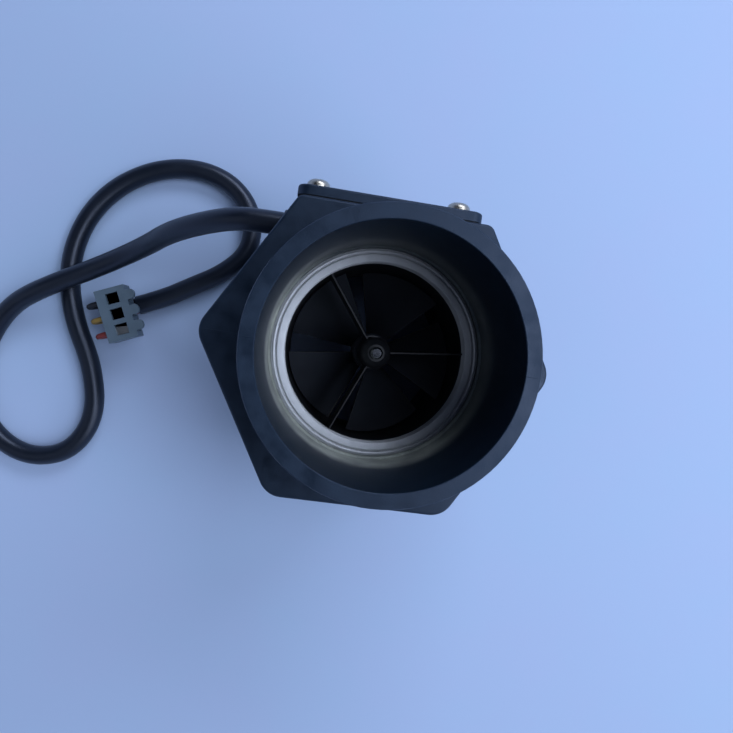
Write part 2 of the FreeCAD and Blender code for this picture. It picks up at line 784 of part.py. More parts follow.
def make_cover():
    """The flat lid over the sensor pocket, with rounded corners and four screw holes."""
    body = new_body("sensor_cover")
    sketch = new_sketch(body, "CoverOutline", "XZ_Plane", COVER_SEAT)
    left = f"cover_shift - {COVER_HALF_WIDTH}"
    right = f"cover_shift + {COVER_HALF_WIDTH}"
    low = f"{COVER_LEVEL} - cover_height / 2"
    high = f"{COVER_LEVEL} + cover_height / 2"
    draw_outline(sketch, box_corners(left, right, low, high))
    extrude(body, sketch, "Plate", "cover_thickness")
    outward = Vector(0, 1, 0)
    corners = edge_names(body.Shape, lambda edge: is_along(edge, outward))
    round_edges(body, "PlateCorners", corners, "cover_corner_radius")
    face = -size(HEXAGON_APOTHEM)

    def is_outer(edge):
        return all(abs(vertex.Point.y - face) < 1e-6 for vertex in edge.Vertexes)

    round_edges(body, "PlateEdges", edge_names(body.Shape, is_outer), "cover_edge_radius")
    holes = new_sketch(body, "HoleOutlines", "XZ_Plane", HEXAGON_APOTHEM)
    for x_rule, z_rule in cover_screw_places():
        draw_circle(holes, x_rule, z_rule, "screw_radius + screw_hole_gap")
    cut(body, holes, "Holes", "cover_thickness * 2")


def make_gasket():
    """The flat gasket between the lid and the housing, open over the pocket."""
    body = new_body("cover_gasket")
    sketch = new_sketch(body, "GasketOutline", "XZ_Plane", LAND)
    side = f"{COVER_HALF_WIDTH} - gasket_inset"
    low = f"{COVER_LEVEL} - cover_height / 2 + gasket_inset"
    high = f"{COVER_LEVEL} + cover_height / 2 - gasket_inset"
    draw_outline(sketch, box_corners(f"cover_shift - ({side})", f"cover_shift + {side}", low, high))
    extrude(body, sketch, "Sheet", "gasket_thickness")
    outward = Vector(0, 1, 0)
    corners = edge_names(body.Shape, lambda edge: is_along(edge, outward))
    round_edges(body, "SheetCorners", corners, "cover_corner_radius - gasket_inset")
    window = new_sketch(body, "WindowOutline", "XZ_Plane", COVER_SEAT)
    low = f"{COVER_LEVEL} - pocket_height / 2"
    high = f"{COVER_LEVEL} + pocket_height / 2"
    draw_outline(window, box_corners(POCKET_LEFT, POCKET_RIGHT, low, high))
    for x_rule, z_rule in cover_screw_places():
        draw_circle(window, x_rule, z_rule, "screw_radius + screw_hole_gap")
    cut(body, window, "Window", "gasket_thickness * 2")


def one_screw(name, radius, length, head_radius, head_height):
    """A pan-head screw with a cross recess, standing on its point with its head's seat at level 0."""
    body = doc.addObject("PartDesign::Body", name)
    turn(
        body,
        "Shank",
        [
            ("0", f"-({length})"),
            (f"{radius} / 2", f"-({length})"),
            (radius, f"-({length}) + {radius}"),
            (radius, "0"),
            (head_radius, "0"),
            (head_radius, f"{head_height} * screw_crown_share"),
            (f"{head_radius} * screw_dome_share", f"{head_height} * (1 + screw_crown_share) / 2"),
            (f"{head_radius} * screw_crown_share", head_height),
            ("0", head_height),
        ],
    )
    for turn_name, plane in (("SlotA", "XZ_Plane"), ("SlotB", "YZ_Plane")):
        slot = new_sketch(body, turn_name + "Outline", plane)
        reach = f"{head_radius} * recess_reach_share"
        depth = f"{head_height} * (1 - recess_depth_share)"
        draw_outline(slot, box_corners(f"-{reach}", reach, depth, f"{head_height} + 1"))
        doc.recompute()
        before = body.Shape.Volume
        cross = body.newObject("PartDesign::Pocket", turn_name)
        cross.Profile = slot
        cross.Midplane = True
        cross.setExpression("Length", bound(f"{head_radius} * recess_width_share"))
        doc.recompute()
        check_cut(turn_name, before, body.Shape.Volume)
    return body


def screw_group(label, screw, places, seat):
    """Copies of a screw that point into the housing from the lid's side, as one sub-part."""
    copies = []
    for x_rule, z_rule in places:
        spot = Vector(size(x_rule), -size(seat), size(z_rule))
        shape = screw.Shape.copy()
        shape.Placement = FreeCAD.Placement(spot, FreeCAD.Rotation(Vector(1, 0, 0), 90))
        copies.append(shape)
    group = doc.addObject("Part::Feature", label)
    group.Shape = Part.makeCompound(copies)
    keep(group)


def make_screws():
    """The four cover screws and the two small screws that hold the board."""
    cover_screw = one_screw(
        "CoverScrew", "screw_radius", "screw_length", "screw_head_radius", "screw_head_height"
    )
    screw_group("cover_screws", cover_screw, cover_screw_places(), HEXAGON_APOTHEM)
    board_screw = one_screw(
        "BoardScrew",
        "board_screw_radius",
        "board_screw_length",
        "board_screw_head_radius",
        "board_screw_head_height",
    )
    screw_group("board_screws", board_screw, board_posts(), BOARD_FACE)


def make_board():
    """The sensor board on its two posts."""
    body = new_body("sensor_board")
    sketch = new_sketch(body, "BoardOutline", "XZ_Plane", BOARD_UNDERSIDE)
    draw_outline(sketch, box_corners(BOARD_LEFT, BOARD_RIGHT, BOARD_BOTTOM, BOARD_TOP))
    for x_rule, z_rule in board_posts():
        draw_circle(sketch, x_rule, z_rule, "board_screw_radius + screw_hole_gap")
    extrude(body, sketch, "Board", "board_thickness")


def small_box(label, middle_x, near_y, middle_z, width, depth, height):
    """A small block on the board, given by the middle of its width and height and its face near +Y."""
    box = doc.addObject("Part::Box", label)
    box.setExpression("Length", bound(width))
    box.setExpression("Width", bound(depth))
    box.setExpression("Height", bound(height))
    box.setExpression("Placement.Base.x", bound(f"{middle_x} - ({width}) / 2"))
    box.setExpression("Placement.Base.y", bound(f"{near_y} - ({depth})"))
    box.setExpression("Placement.Base.z", bound(f"{middle_z} - ({height}) / 2"))
    return keep(box)


def make_board_parts():
    """The Hall sensor under the board, level with the magnets, and two chips on its face."""
    magnet_level = f"{ROTOR_BOTTOM} + blade_end_margin + magnet_height / 2"
    middle = f"({BOARD_LEFT} + {BOARD_RIGHT}) / 2"
    underside = f"hall_sensor_depth - ({BOARD_UNDERSIDE})"
    small_box(
        "hall_sensor",
        middle,
        underside,
        magnet_level,
        "hall_sensor_width",
        "hall_sensor_depth",
        "hall_sensor_height",
    )
    for label, lift, depth in (
        ("board_capacitor", f"{COVER_LEVEL} + chip_length / 2", "capacitor_depth"),
        ("board_resistor", f"{COVER_LEVEL} - chip_length / 2", "resistor_depth"),
    ):
        place = f"{BOARD_LEFT} + board_post_inset + chip_length / 2"
        small_box(label, place, f"-({BOARD_FACE})", lift, "chip_length", depth, "chip_width")


def make_grommet():
    """The rubber sleeve round the lead where it passes the housing's wall."""
    body = new_body("lead_grommet")
    bore = "lead_radius + grommet_bore_gap"
    round_end = "(grommet_radius - lead_radius) / 2"
    turn(
        body,
        "Sleeve",
        [
            (bore, POCKET_RIGHT),
            ("grommet_radius", POCKET_RIGHT),
            ("grommet_radius", f"{GROMMET_END} - {round_end}"),
            (f"grommet_radius - {round_end}", GROMMET_END),
            (bore, GROMMET_END),
        ],
    )
    place = Vector(0, -size(LEAD_DEPTH), size(COVER_LEVEL))
    body.Placement = FreeCAD.Placement(place, FreeCAD.Rotation(Vector(0, 1, 0), 90))
    body.setExpression("Placement.Base.y", bound(f"-{LEAD_DEPTH}"))
    body.setExpression("Placement.Base.z", bound(COVER_LEVEL))


def rounded_path(points, label):
    """Straight runs through the points, joined by tangent arcs, with the arcs' radii printed."""
    edges = []
    radii = []
    start = points[0]
    for before, corner, after in zip(points, points[1:], points[2:]):
        into = (corner - before).normalize()
        out = (after - corner).normalize()
        half_turn = into.getAngle(out) / 2
        setback = 0.45 * min((corner - before).Length, (after - corner).Length)
        radii.append(setback / math.tan(half_turn))
        first = corner - into * setback
        last = corner + out * setback
        towards = (out - into).normalize()
        middle = corner + towards * (radii[-1] / math.cos(half_turn) - radii[-1])
        edges.append(Part.LineSegment(start, first).toShape())
        edges.append(Part.Arc(first, middle, last).toShape())
        start = last
    edges.append(Part.LineSegment(start, points[-1]).toShape())
    print(label, "radii", " ".join(f"{radius:.1f}" for radius in radii))
    return Part.Wire(edges)


def make_tube(label, points, radius):
    """A round tube along a rounded path, as a sub-part."""
    path = rounded_path(points, label)
    section = Part.Wire(Part.makeCircle(radius, points[0], points[1] - points[0]))
    shape = path.makePipeShell([section], True, False)
    expected = math.pi * radius**2 * path.Length
    if abs(shape.Volume - expected) > 0.01 * expected:
        raise RuntimeError(f"{label} has the volume {shape.Volume}, not {expected}")
    print(label, "length", round(path.Length, 1))
    tube = doc.addObject("Part::Feature", label)
    tube.Shape = shape
    return keep(tube)


def plug_placement():
    """Where the plug lies: on the end of the lead, turned to its heading."""
    level = 2 * size("lead_radius") + size("plug_rest_gap")
    turned = FreeCAD.Rotation(Vector(0, 0, 1), PLUG_HEADING)
    return FreeCAD.Placement(Vector(*PLUG_MIDDLE, level), turned)


def make_lead():
    """The round lead, and the three cores from its inner end to the board."""
    strip = size(f"{POCKET_RIGHT} + lead_strip_gap")
    depth = -size(LEAD_DEPTH)
    level = size(COVER_LEVEL)
    along, across = LEAD_END_ON_PLUG
    place = plug_placement()
    lying = size("lead_radius") - place.Base.z
    points = [Vector(strip, depth, level), Vector(size("lead_bend_place"), depth, level)]
    points += [Vector(*point) for point in LEAD_ROUTE]
    points += [place.multVec(Vector(along + run, across, lying)) for run in (LEAD_LAST_RUN, 0)]
    make_tube("lead", points, size("lead_radius"))
    straight = size("core_straight")
    pad = size(f"{BOARD_RIGHT} - core_pad_inset")
    board_face = -size(BOARD_FACE)
    raised = board_face - size("core_lift")
    for number, side in enumerate((-1, 0, 1), start=1):
        near = level + side * size("core_spacing")
        far = level + side * size("core_pad_spacing")
        route = [
            Vector(strip, depth, near),
            Vector(strip - straight, depth, near),
            Vector(pad + 2 * straight, raised, far),
            Vector(pad, raised, far),
            Vector(pad, board_face, far),
        ]
        make_tube(f"board_core_{number}", route, size("core_radius"))


def make_plug_housing():
    """The 3-way plug: a block with three cavities, a window over each and three rounded fingers."""
    body = new_body("plug_housing")
    half_width = "(plug_pitch * 1.5 + plug_wall)"
    front = "plug_length / 2"
    block = new_sketch(body, "BlockOutline", "XY_Plane")
    draw_outline(block, box_corners(f"-{front}", front, f"-{half_width}", half_width))
    extrude(body, block, "Block", "plug_height")
    fingers = new_sketch(body, "FingerOutlines", "XY_Plane", "plug_height - plug_finger_thickness")
    for side in (-1, 0, 1):
        left = f"plug_pitch * {side} - plug_finger_width / 2"
        right = f"plug_pitch * {side} + plug_finger_width / 2"
        tip = f"{front} + plug_finger_length"
        draw_outline(fingers, box_corners("0", tip, left, right))
    extrude(body, fingers, "Fingers", "plug_finger_thickness")
    tip_place = size(f"{front} + plug_finger_length")
    upright = Vector(0, 0, 1)
    tips = edge_names(
        body.Shape,
        lambda edge: is_along(edge, upright) and abs(edge.CenterOfMass.x - tip_place) < 1e-4,
    )
    round_edges(body, "FingerTips", tips, "plug_finger_width * 0.45")
    cavities = new_sketch(body, "CavityOutlines", "YZ_Plane", f"-{front} - 1")
    windows = new_sketch(body, "WindowOutlines", "XY_Plane", "plug_height")
    for side in (-1, 0, 1):
        middle = f"plug_pitch * {side}"
        half = "plug_cavity / 2"
        low = f"plug_height / 2 - {half}"
        high = f"plug_height / 2 + {half}"
        draw_outline(cavities, box_corners(f"{middle} - {half}", f"{middle} + {half}", low, high))
        left = f"{middle} - plug_window_width / 2"
        right = f"{middle} + plug_window_width / 2"
        near = "plug_window_place - plug_window_length / 2"
        far = "plug_window_place + plug_window_length / 2"
        draw_outline(windows, box_corners(near, far, left, right))
    cut(body, cavities, "Cavities", "plug_length + 1 + plug_finger_length", backwards=True)
    cut(body, windows, "Windows", "plug_height / 2")
    body.Placement = plug_placement()


def make_terminals():
    """The three crimp terminals: a folded box contact and a barrel round each core."""
    length = size("terminal_length")
    width = size("terminal_width")
    height = size("terminal_height")
    wall = size("terminal_wall")
    start = size("terminal_place")
    middle = size("plug_height") / 2
    inner = size("core_radius") + size("barrel_gap")
    outer = inner + size("barrel_wall")
    barrel_length = size("barrel_length")
    shapes = []
    for side in (-1, 0, 1):
        across = side * size("plug_pitch")
        corner = Vector(start, across - width / 2, middle - height / 2)
        contact = Part.makeBox(length, width, height, corner)
        hollow = Part.makeBox(length, width - 2 * wall, height - 2 * wall, corner + Vector(wall, wall, wall))
        rear = Vector(start - barrel_length, across, middle)
        barrel = Part.makeCylinder(outer, barrel_length + wall, rear, Vector(1, 0, 0))
        bore = Part.makeCylinder(inner, barrel_length, rear, Vector(1, 0, 0))
        shapes.append(contact.cut(hollow).fuse(barrel).cut(bore).removeSplitter())
    group = doc.addObject("Part::Feature", "plug_terminals")
    group.Shape = Part.makeCompound(shapes)
    group.Placement = plug_placement()
    keep(group)


def make_plug_cores():
    """The three cores from the lead's outer end, spread under the plug and turned up into its back."""
    place = plug_placement()
    radius = size("core_radius")
    lying = size("lead_radius") - place.Base.z
    entry = size("plug_height") / 2
    rear = -size("plug_length") / 2
    bend = rear - size("core_turn_reach")
    along, across = LEAD_END_ON_PLUG
    for number, side in enumerate((-1, 0, 1), start=1):
        near = across + side * size("core_spacing")
        far = side * size("plug_pitch")
        route = [
            Vector(along, near, lying),
            Vector(along - size("core_straight"), near, lying),
            Vector(rear + size("core_spread_inset"), far, lying),
            Vector(bend, far, lying),
            Vector(bend, far, entry),
            Vector(size("terminal_place"), far, entry),
        ]
        make_tube(f"plug_core_{number}", [place.multVec(point) for point in route], radius)


def write_parts():
    """Check every object and sub-part, then write one file for each sub-part."""
    doc.recompute()
    for item in doc.Objects:
        if "Invalid" in item.State or "Error" in item.State:
            raise RuntimeError(f"{item.Label} failed: {item.State}")
    for node in nodes:
        shape = node.Shape
        if shape.isNull() or not shape.isValid() or not shape.Solids:
            raise RuntimeError(f"{node.Label} has no valid solid")
    os.makedirs("parts", exist_ok=True)
    for node in nodes:
        node.Shape.exportStep(f"parts/{node.Label}.step")
    print(len(nodes), "sub-parts")


fill_sheet()
make_housing()
make_retaining_ring()
make_turbine_cage()
make_inlet_guide()
make_rotor_shaft()
make_bushes_and_washers()
make_rotor()
make_rotor_magnets()
make_cover()
make_gasket()
make_screws()
make_board()
make_board_parts()
make_grommet()
make_lead()
make_plug_housing()
make_terminals()
make_plug_cores()
write_parts()
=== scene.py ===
"""The looks of an in-line turbine water flow sensor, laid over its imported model, in metres.

+Z is the pipe axis and points towards the inlet. The sensor stands on its outlet end at z = 0, its
screwed cover faces -Y, and its lead leaves towards +X.
"""

import logging
import math
from dataclasses import dataclass, field
from enum import Enum
from typing import Optional, Sequence

import bmesh
import bpy
from bmesh.types import BMEdge, BMesh, BMVert
from bpy.types import ID, Material, Mesh, Node, NodeSocket, NodeTree, Object
from mathutils import Matrix, Vector


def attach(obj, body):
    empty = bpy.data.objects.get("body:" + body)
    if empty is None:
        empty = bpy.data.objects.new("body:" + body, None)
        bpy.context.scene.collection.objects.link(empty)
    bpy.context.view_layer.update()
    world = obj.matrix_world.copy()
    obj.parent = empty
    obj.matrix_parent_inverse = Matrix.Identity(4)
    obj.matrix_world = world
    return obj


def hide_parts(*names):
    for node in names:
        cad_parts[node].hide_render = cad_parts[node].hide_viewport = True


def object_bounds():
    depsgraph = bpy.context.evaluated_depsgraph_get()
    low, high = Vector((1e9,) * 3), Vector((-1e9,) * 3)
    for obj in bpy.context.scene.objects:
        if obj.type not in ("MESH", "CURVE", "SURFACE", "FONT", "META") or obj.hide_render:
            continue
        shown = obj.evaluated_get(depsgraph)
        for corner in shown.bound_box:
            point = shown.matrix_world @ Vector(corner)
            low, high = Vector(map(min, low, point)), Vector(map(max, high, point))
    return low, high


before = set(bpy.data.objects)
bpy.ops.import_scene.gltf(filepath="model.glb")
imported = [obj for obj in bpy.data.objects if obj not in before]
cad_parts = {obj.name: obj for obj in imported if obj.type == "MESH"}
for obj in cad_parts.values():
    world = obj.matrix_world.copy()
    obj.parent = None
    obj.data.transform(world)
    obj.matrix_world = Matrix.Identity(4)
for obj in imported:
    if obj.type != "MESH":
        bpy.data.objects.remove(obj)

CAD_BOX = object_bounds()
MM = 0.001
# A wave texture at scale 1 has one band in this length
WAVE_TURN = math.tau / 20
LOG = logging.getLogger("water_flow_sensor")

Point = tuple[float, float, float]
Profile = Sequence[tuple[float, float]]


class Body(Enum):
    """The rigid bodies that pieces ride on."""

    HOUSING = "body"
    ROTOR = "rotor"


class PipeEnd(Enum):
    """The two threaded pipe ends: the levels of the free end and of the thread's run-out, in mm."""

    OUTLET = (0.0, 28.5)
    INLET = (96.0, 67.5)


# ---- Material helpers


def linear(hex_colour: str) -> tuple[float, float, float, float]:
    """Turn an sRGB hex colour into linear red, green, blue and alpha.

    Args:
        hex_colour: Six hex digits, with or without a leading #.

    Returns:
        The linear colour, opaque.
    """
    digits = hex_colour.lstrip("#")
    parts = [int(digits[place:place + 2], 16) / 255 for place in (0, 2, 4)]
    red, green, blue = (
        part / 12.92 if part <= 0.04045 else ((part + 0.055) / 1.055) ** 2.4 for part in parts
    )
    return red, green, blue, 1.0


def per_metre(size_mm: float) -> float:
    """How many features of a size in millimetres fit in a metre, as a texture's scale."""
    return 1 / (size_mm * MM)


def add_node(tree: NodeTree, kind: str, inputs: Optional[dict] = None, **settings: str) -> Node:
    """Add one node with its settings, its values and its links.

    Args:
        tree: The node tree that gets the node.
        kind: The node's type name, without ShaderNode.
        inputs: For each input, by name or place, a value or the output that feeds it.
        settings: Attributes of the node to set.

    Returns:
        The new node.
    """
    node = tree.nodes.new("ShaderNode" + kind)
    for name, value in settings.items():
        setattr(node, name, value)
    for name, value in (inputs or {}).items():
        if isinstance(value, NodeSocket):
            tree.links.new(value, node.inputs[name])
        else:
            node.inputs[name].default_value = value
    return node


def axis_radius(tree: NodeTree, place: NodeSocket) -> NodeSocket:
    """Work out how far a place is from the pipe axis.

    Args:
        tree: The material's node tree.
        place: The place on the object, in metres.

    Returns:
        The output that carries the distance, in metres.
    """
    flat = add_node(tree, "VectorMath", {0: place, 1: (1.0, 1.0, 0.0)}, operation="MULTIPLY")
    away = add_node(tree, "VectorMath", {0: flat.outputs["Vector"]}, operation="LENGTH")
    return away.outputs["Value"]


# Nearly all of a mottle's noise lies between these
MOTTLE_LOW = 0.3
MOTTLE_HIGH = 0.7


@dataclass(frozen=True)
class Finish:
    """A surface: what it is made of, its colours and how rough it is.

    Its pattern is two tones mixed by a mottle, a roughness that varies with it, and a fine relief.
    """

    name: str
    tone: str
    second_tone: str
    roughness: float
    roughness_spread: float = 0.06
    mottle_mm: float = 6.0
    grain_mm: float = 0.4
    relief_mm: float = 0.01
    metallic: float = 0.0
    ior: float = 1.5
    coat: float = 0.0
    glint: str = "#FFFFFF"

    def shader_values(self) -> dict:
        """The values that are the same all over the surface, for the shader's own sockets."""
        values = {
            "Metallic": self.metallic,
            "Coat Weight": self.coat,
            "Coat Roughness": 0.15,
            "Specular Tint": linear(self.glint),
        }
        if not self.metallic:
            values["IOR"] = self.ior
        return values

    def relief(self, tree: NodeTree, place: NodeSocket) -> NodeSocket:
        """Add the surface's fine relief.

        Args:
            tree: The material's node tree.
            place: The place on the object, in metres.

        Returns:
            The output that carries the relief's normal.
        """
        grain = add_node(
            tree, "TexNoise", {"Vector": place, "Scale": per_metre(self.grain_mm), "Detail": 2.0}
        )
        relief = add_node(
            tree,
            "Bump",
            {"Height": grain.outputs["Fac"], "Distance": self.relief_mm * MM, "Strength": 1.0},
        )
        return relief.outputs["Normal"]

    def patterns(self, tree: NodeTree, place: NodeSocket) -> dict:
        """Add the surface's patterns.

        Args:
            tree: The material's node tree.
            place: The place on the object, in metres.

        Returns:
            The shader's inputs that the patterns feed.
        """
        mottle = add_node(
            tree,
            "TexNoise",
            {"Vector": place, "Scale": per_metre(self.mottle_mm), "Detail": 4.0, "Roughness": 0.6},
        )
        colour = add_node(
            tree,
            "Mix",
            {0: mottle.outputs["Fac"], 6: linear(self.tone), 7: linear(self.second_tone)},
            data_type="RGBA",
        )
        rough = add_node(
            tree,
            "MapRange",
            {
                "Value": mottle.outputs["Fac"],
                "From Min": MOTTLE_LOW,
                "From Max": MOTTLE_HIGH,
                "To Min": self.roughness - self.roughness_spread,
                "To Max": self.roughness + self.roughness_spread,
            },
        )
        return {
            "Base Color": colour.outputs[2],
            "Roughness": rough.outputs["Result"],
            "Normal": self.relief(tree, place),
        }

    def material(self) -> Material:
        """Make the material once, and hand the same one out after that."""
        made = bpy.data.materials.get(self.name)
        if made:
            return made
        made = bpy.data.materials.new(self.name)
        made.use_nodes = True
        tree = made.node_tree
        shader = tree.nodes["Principled BSDF"]
        place = add_node(tree, "TexCoord").outputs["Object"]
        for name, value in self.shader_values().items():
            shader.inputs[name].default_value = value
        for name, output in self.patterns(tree, place).items():
            tree.links.new(output, shader.inputs[name])
        return made


@dataclass(frozen=True)
class MouldedNylon(Finish):
    """Glass-filled nylon from a spark-eroded mould: dull and near black, with a soft bloom.

    The bore's wall comes from a polished core, so inside its radius the surface is smoother. Above
    the ring, a patchy grey glow is painted on the wall for the light that the ring throws up onto
    it, most on one side. A fine raised line runs where the two halves of the mould meet, in the
    plane y = 0.
    """

    bore_mm: float = 26.7
    bore_roughness: float = 0.4
    parting_mm: float = 0.12
    parting_height_mm: float = 0.03
    # Painted glow: a light grey laid on the bore's wall above the ring, for light the ring throws
    # up
    painted_glow_tone: str = "#ACB0A4"
    painted_glow_levels_mm: tuple[float, float, float] = (61.0, 68.5, 75.5)
    painted_glow_patch_mm: float = 9.0
    painted_glow_side: Point = (0.6, 0.8, 0.0)
    painted_glow_side_mm: float = 12.0

    def painted_glow(self, tree: NodeTree, place: NodeSocket) -> NodeSocket:
        """Work out how strongly the glow is painted on the wall: patchily above the ring, less
        further up.

        Args:
            tree: The material's node tree.
            place: The place on the housing, in metres.

        Returns:
            The output that carries the strength, from 0 to 1.
        """
        foot, full, end = (level * MM for level in self.painted_glow_levels_mm)
        height = add_node(tree, "SeparateXYZ", {"Vector": place}).outputs["Z"]
        above = add_node(tree, "Math", {0: height, 1: foot}, operation="GREATER_THAN")
        fade = add_node(
            tree,
            "MapRange",
            {"Value": height, "From Min": full, "From Max": end, "To Min": 1.0, "To Max": 0.0},
            interpolation_type="SMOOTHSTEP",
        )
        towards = add_node(
            tree, "VectorMath", {0: place, 1: self.painted_glow_side}, operation="DOT_PRODUCT"
        )
        side = add_node(
            tree,
            "MapRange",
            {
                "Value": towards.outputs["Value"],
                "From Min": -self.painted_glow_side_mm * MM,
                "From Max": self.painted_glow_side_mm * MM,
                "To Min": 0.2,
                "To Max": 1.0,
            },
            interpolation_type="SMOOTHSTEP",
        )
        patches = add_node(
            tree,
            "TexNoise",
            {"Vector": place, "Scale": per_metre(self.painted_glow_patch_mm), "Detail": 5.0, "Roughness": 0.65},
        )
        patchy = add_node(
            tree,
            "MapRange",
            {
                "Value": patches.outputs["Fac"],
                "From Min": 0.35,
                "From Max": 0.65,
                "To Min": 0.5,
                "To Max": 1.0,
            },
        )
        glow = above.outputs["Value"]
        for share in (fade, side, patchy):
            both = {0: glow, 1: share.outputs["Result"]}
            glow = add_node(tree, "Math", both, operation="MULTIPLY").outputs["Value"]
        return glow

    def relief(self, tree: NodeTree, place: NodeSocket) -> NodeSocket:
        """Add the parting line outside the bore to the fine relief.

        Args:
            tree: The material's node tree.
            place: The place on the housing, in metres.

        Returns:
            The output that carries the relief's normal.
        """
        across = add_node(tree, "SeparateXYZ", {"Vector": place}).outputs["Y"]
        aside = add_node(tree, "Math", {0: across}, operation="ABSOLUTE")
        line = add_node(
            tree,
            "MapRange",
            {
                "Value": aside.outputs["Value"],
                "From Min": 0.0,
                "From Max": self.parting_mm * MM,
                "To Min": 1.0,
                "To Max": 0.0,
            },
        )
        outside = add_node(
            tree,
            "Math",
            {0: axis_radius(tree, place), 1: self.bore_mm * MM},
            operation="GREATER_THAN",
        )
        ridge = add_node(
            tree,
            "Math",
            {0: line.outputs["Result"], 1: outside.outputs["Value"]},
            operation="MULTIPLY",
        )
        raised = add_node(
            tree,
            "Bump",
            {
                "Height": ridge.outputs["Value"],
                "Distance": self.parting_height_mm * MM,
                "Strength": 1.0,
                "Normal": super().relief(tree, place),
            },
        )
        return raised.outputs["Normal"]

    def patterns(self, tree: NodeTree, place: NodeSocket) -> dict:
        """Add the bore's polish and its painted glow to the plain patterns.

        Args:
            tree: The material's node tree.
            place: The place on the housing, in metres.

        Returns:
            The shader's inputs that the patterns feed.
        """
        feeds = super().patterns(tree, place)
        inside = add_node(
            tree, "Math", {0: axis_radius(tree, place), 1: self.bore_mm * MM}, operation="LESS_THAN"
        )
        rough = add_node(
            tree,
            "Mix",
            {0: inside.outputs["Value"], 2: feeds["Roughness"], 3: self.bore_roughness},
            data_type="FLOAT",
        )
        # Painted glow: light thrown up off the ring, laid on the wall as a grey tone
        glow = add_node(
            tree,
            "Math",
            {0: inside.outputs["Value"], 1: self.painted_glow(tree, place)},
            operation="MULTIPLY",
        )
        colour = add_node(
            tree,
            "Mix",
            {0: glow.outputs["Value"], 6: feeds["Base Color"], 7: linear(self.painted_glow_tone)},
            data_type="RGBA",
        )
        return feeds | {"Roughness": rough.outputs[0], "Base Color": colour.outputs[2]}


@dataclass(frozen=True)
class TurnedSteel(Finish):
    """Stainless steel faced on a lathe: bright, with fine rings round the axis and a brushed glint.

    The real feed marks are about 0.05 mm apart; they are drawn as coarse as the render can show.
    """

    feed_mm: float = 0.22
    streak: float = 0.93
    wave_mm: float = 1.6
    wave_height_mm: float = 0.06

    def shader_values(self) -> dict:
        """Add the stretch of the glint, across the marks, to the plain values."""
        return super().shader_values() | {"Anisotropic": self.streak, "Anisotropic Rotation": 0.25}

    def relief(self, tree: NodeTree, place: NodeSocket) -> NodeSocket:
        """Replace the fine relief by tool marks round the pipe axis, over a slight waviness.

        Args:
            tree: The material's node tree.
            place: The place on the ring, in metres.

        Returns:
            The output that carries the relief's normal.
        """
        turns = add_node(
            tree,
            "TexNoise",
            {"W": axis_radius(tree, place), "Scale": per_metre(self.feed_mm), "Detail": 2.0},
            noise_dimensions="1D",
        )
        wave = add_node(
            tree,
            "TexNoise",
            {"Vector": place, "Scale": per_metre(self.wave_mm), "Detail": 3.0, "Roughness": 0.6},
        )
        waves = add_node(
            tree,
            "Bump",
            {"Height": wave.outputs["Fac"], "Distance": self.wave_height_mm * MM, "Strength": 1.0},
        )
        marks = add_node(
            tree,
            "Bump",
            {
                "Height": turns.outputs["Fac"],
                "Distance": self.relief_mm * MM,
                "Strength": 1.0,
                "Normal": waves.outputs["Normal"],
            },
        )
        return marks.outputs["Normal"]

    def patterns(self, tree: NodeTree, place: NodeSocket) -> dict:
        """Add the way that the tool marks run, round the pipe axis, to the plain patterns.

        Args:
            tree: The material's node tree.
            place: The place on the ring, in metres.

        Returns:
            The shader's inputs that the patterns feed.
        """
        around = add_node(tree, "Tangent", direction_type="RADIAL", axis="Z")
        return super().patterns(tree, place) | {"Tangent": around.outputs["Tangent"]}


@dataclass(frozen=True)
class WovenLaminate(Finish):
    """Glass-cloth laminate under a green lacquer: the weave shows as a faint square relief."""

    thread_mm: float = 0.5

    def relief(self, tree: NodeTree, place: NodeSocket) -> NodeSocket:
        """Replace the fine relief by the cloth's warp and weft.

        Args:
            tree: The material's node tree.
            place: The place on the board, in metres.

        Returns:
            The output that carries the relief's normal.
        """
        warp, weft = (
            add_node(
                tree,
                "TexWave",
                {
                    "Vector": place,
                    "Scale": per_metre(self.thread_mm) * WAVE_TURN,
                    "Distortion": 0.0,
                },
                bands_direction=direction,
            ).outputs["Fac"]
            for direction in ("X", "Z")
        )
        cloth = add_node(tree, "Math", {0: warp, 1: weft}, operation="MAXIMUM")
        weave = add_node(
            tree,
            "Bump",
            {"Height": cloth.outputs["Value"], "Distance": self.relief_mm * MM, "Strength": 1.0},
        )
        return weave.outputs["Normal"]


# ---- Finishes: after the name and the two tones come the roughness, how far it varies, and the
# sizes of the mottle, the grain and the relief in millimetres

# Glass-filled nylon, moulded: dull blue-black with a soft bloom
HOUSING_NYLON = MouldedNylon(
    "housing_nylon_moulded", "#070F1A", "#162635", 0.45, 0.13, 5.0, 0.35, 0.02, glint="#CDE0FF"
)
# The same nylon on the separately moulded lid
COVER_NYLON = Finish(
    "cover_nylon_moulded", "#070F1A", "#162635", 0.45, 0.13, 5.0, 0.35, 0.02, glint="#CDE0FF"
)
# Stainless steel, turned and faced: bright with fine rings
RING_STEEL = TurnedSteel(
    "ring_steel_turned", "#B4B7B9", "#CBCDCF", 0.5, 0.06, 2.5, 0.3, 0.003, metallic=1.0
)
# Acetal, moulded: satin near-black inner pieces
GUIDE_ACETAL = Finish("guide_acetal_moulded", "#0B0D11", "#13161B", 0.55, 0.05, 5.0, 0.4, 0.008)
# The rotor's tones are painted lighter than the guide's, for light falling on its blades
ROTOR_ACETAL_PAINTED_LIGHTER = Finish("rotor_acetal_painted_lighter", "#1E2127", "#292D34", 0.4, 0.05, 5.0, 0.4, 0.008)
# Stainless steel, centreless ground: mirror-like with a faint haze
SHAFT_STEEL = Finish(
    "shaft_steel_ground", "#64666A", "#7C7E82", 0.14, 0.04, 1.2, 0.2, 0.002, metallic=1.0
)
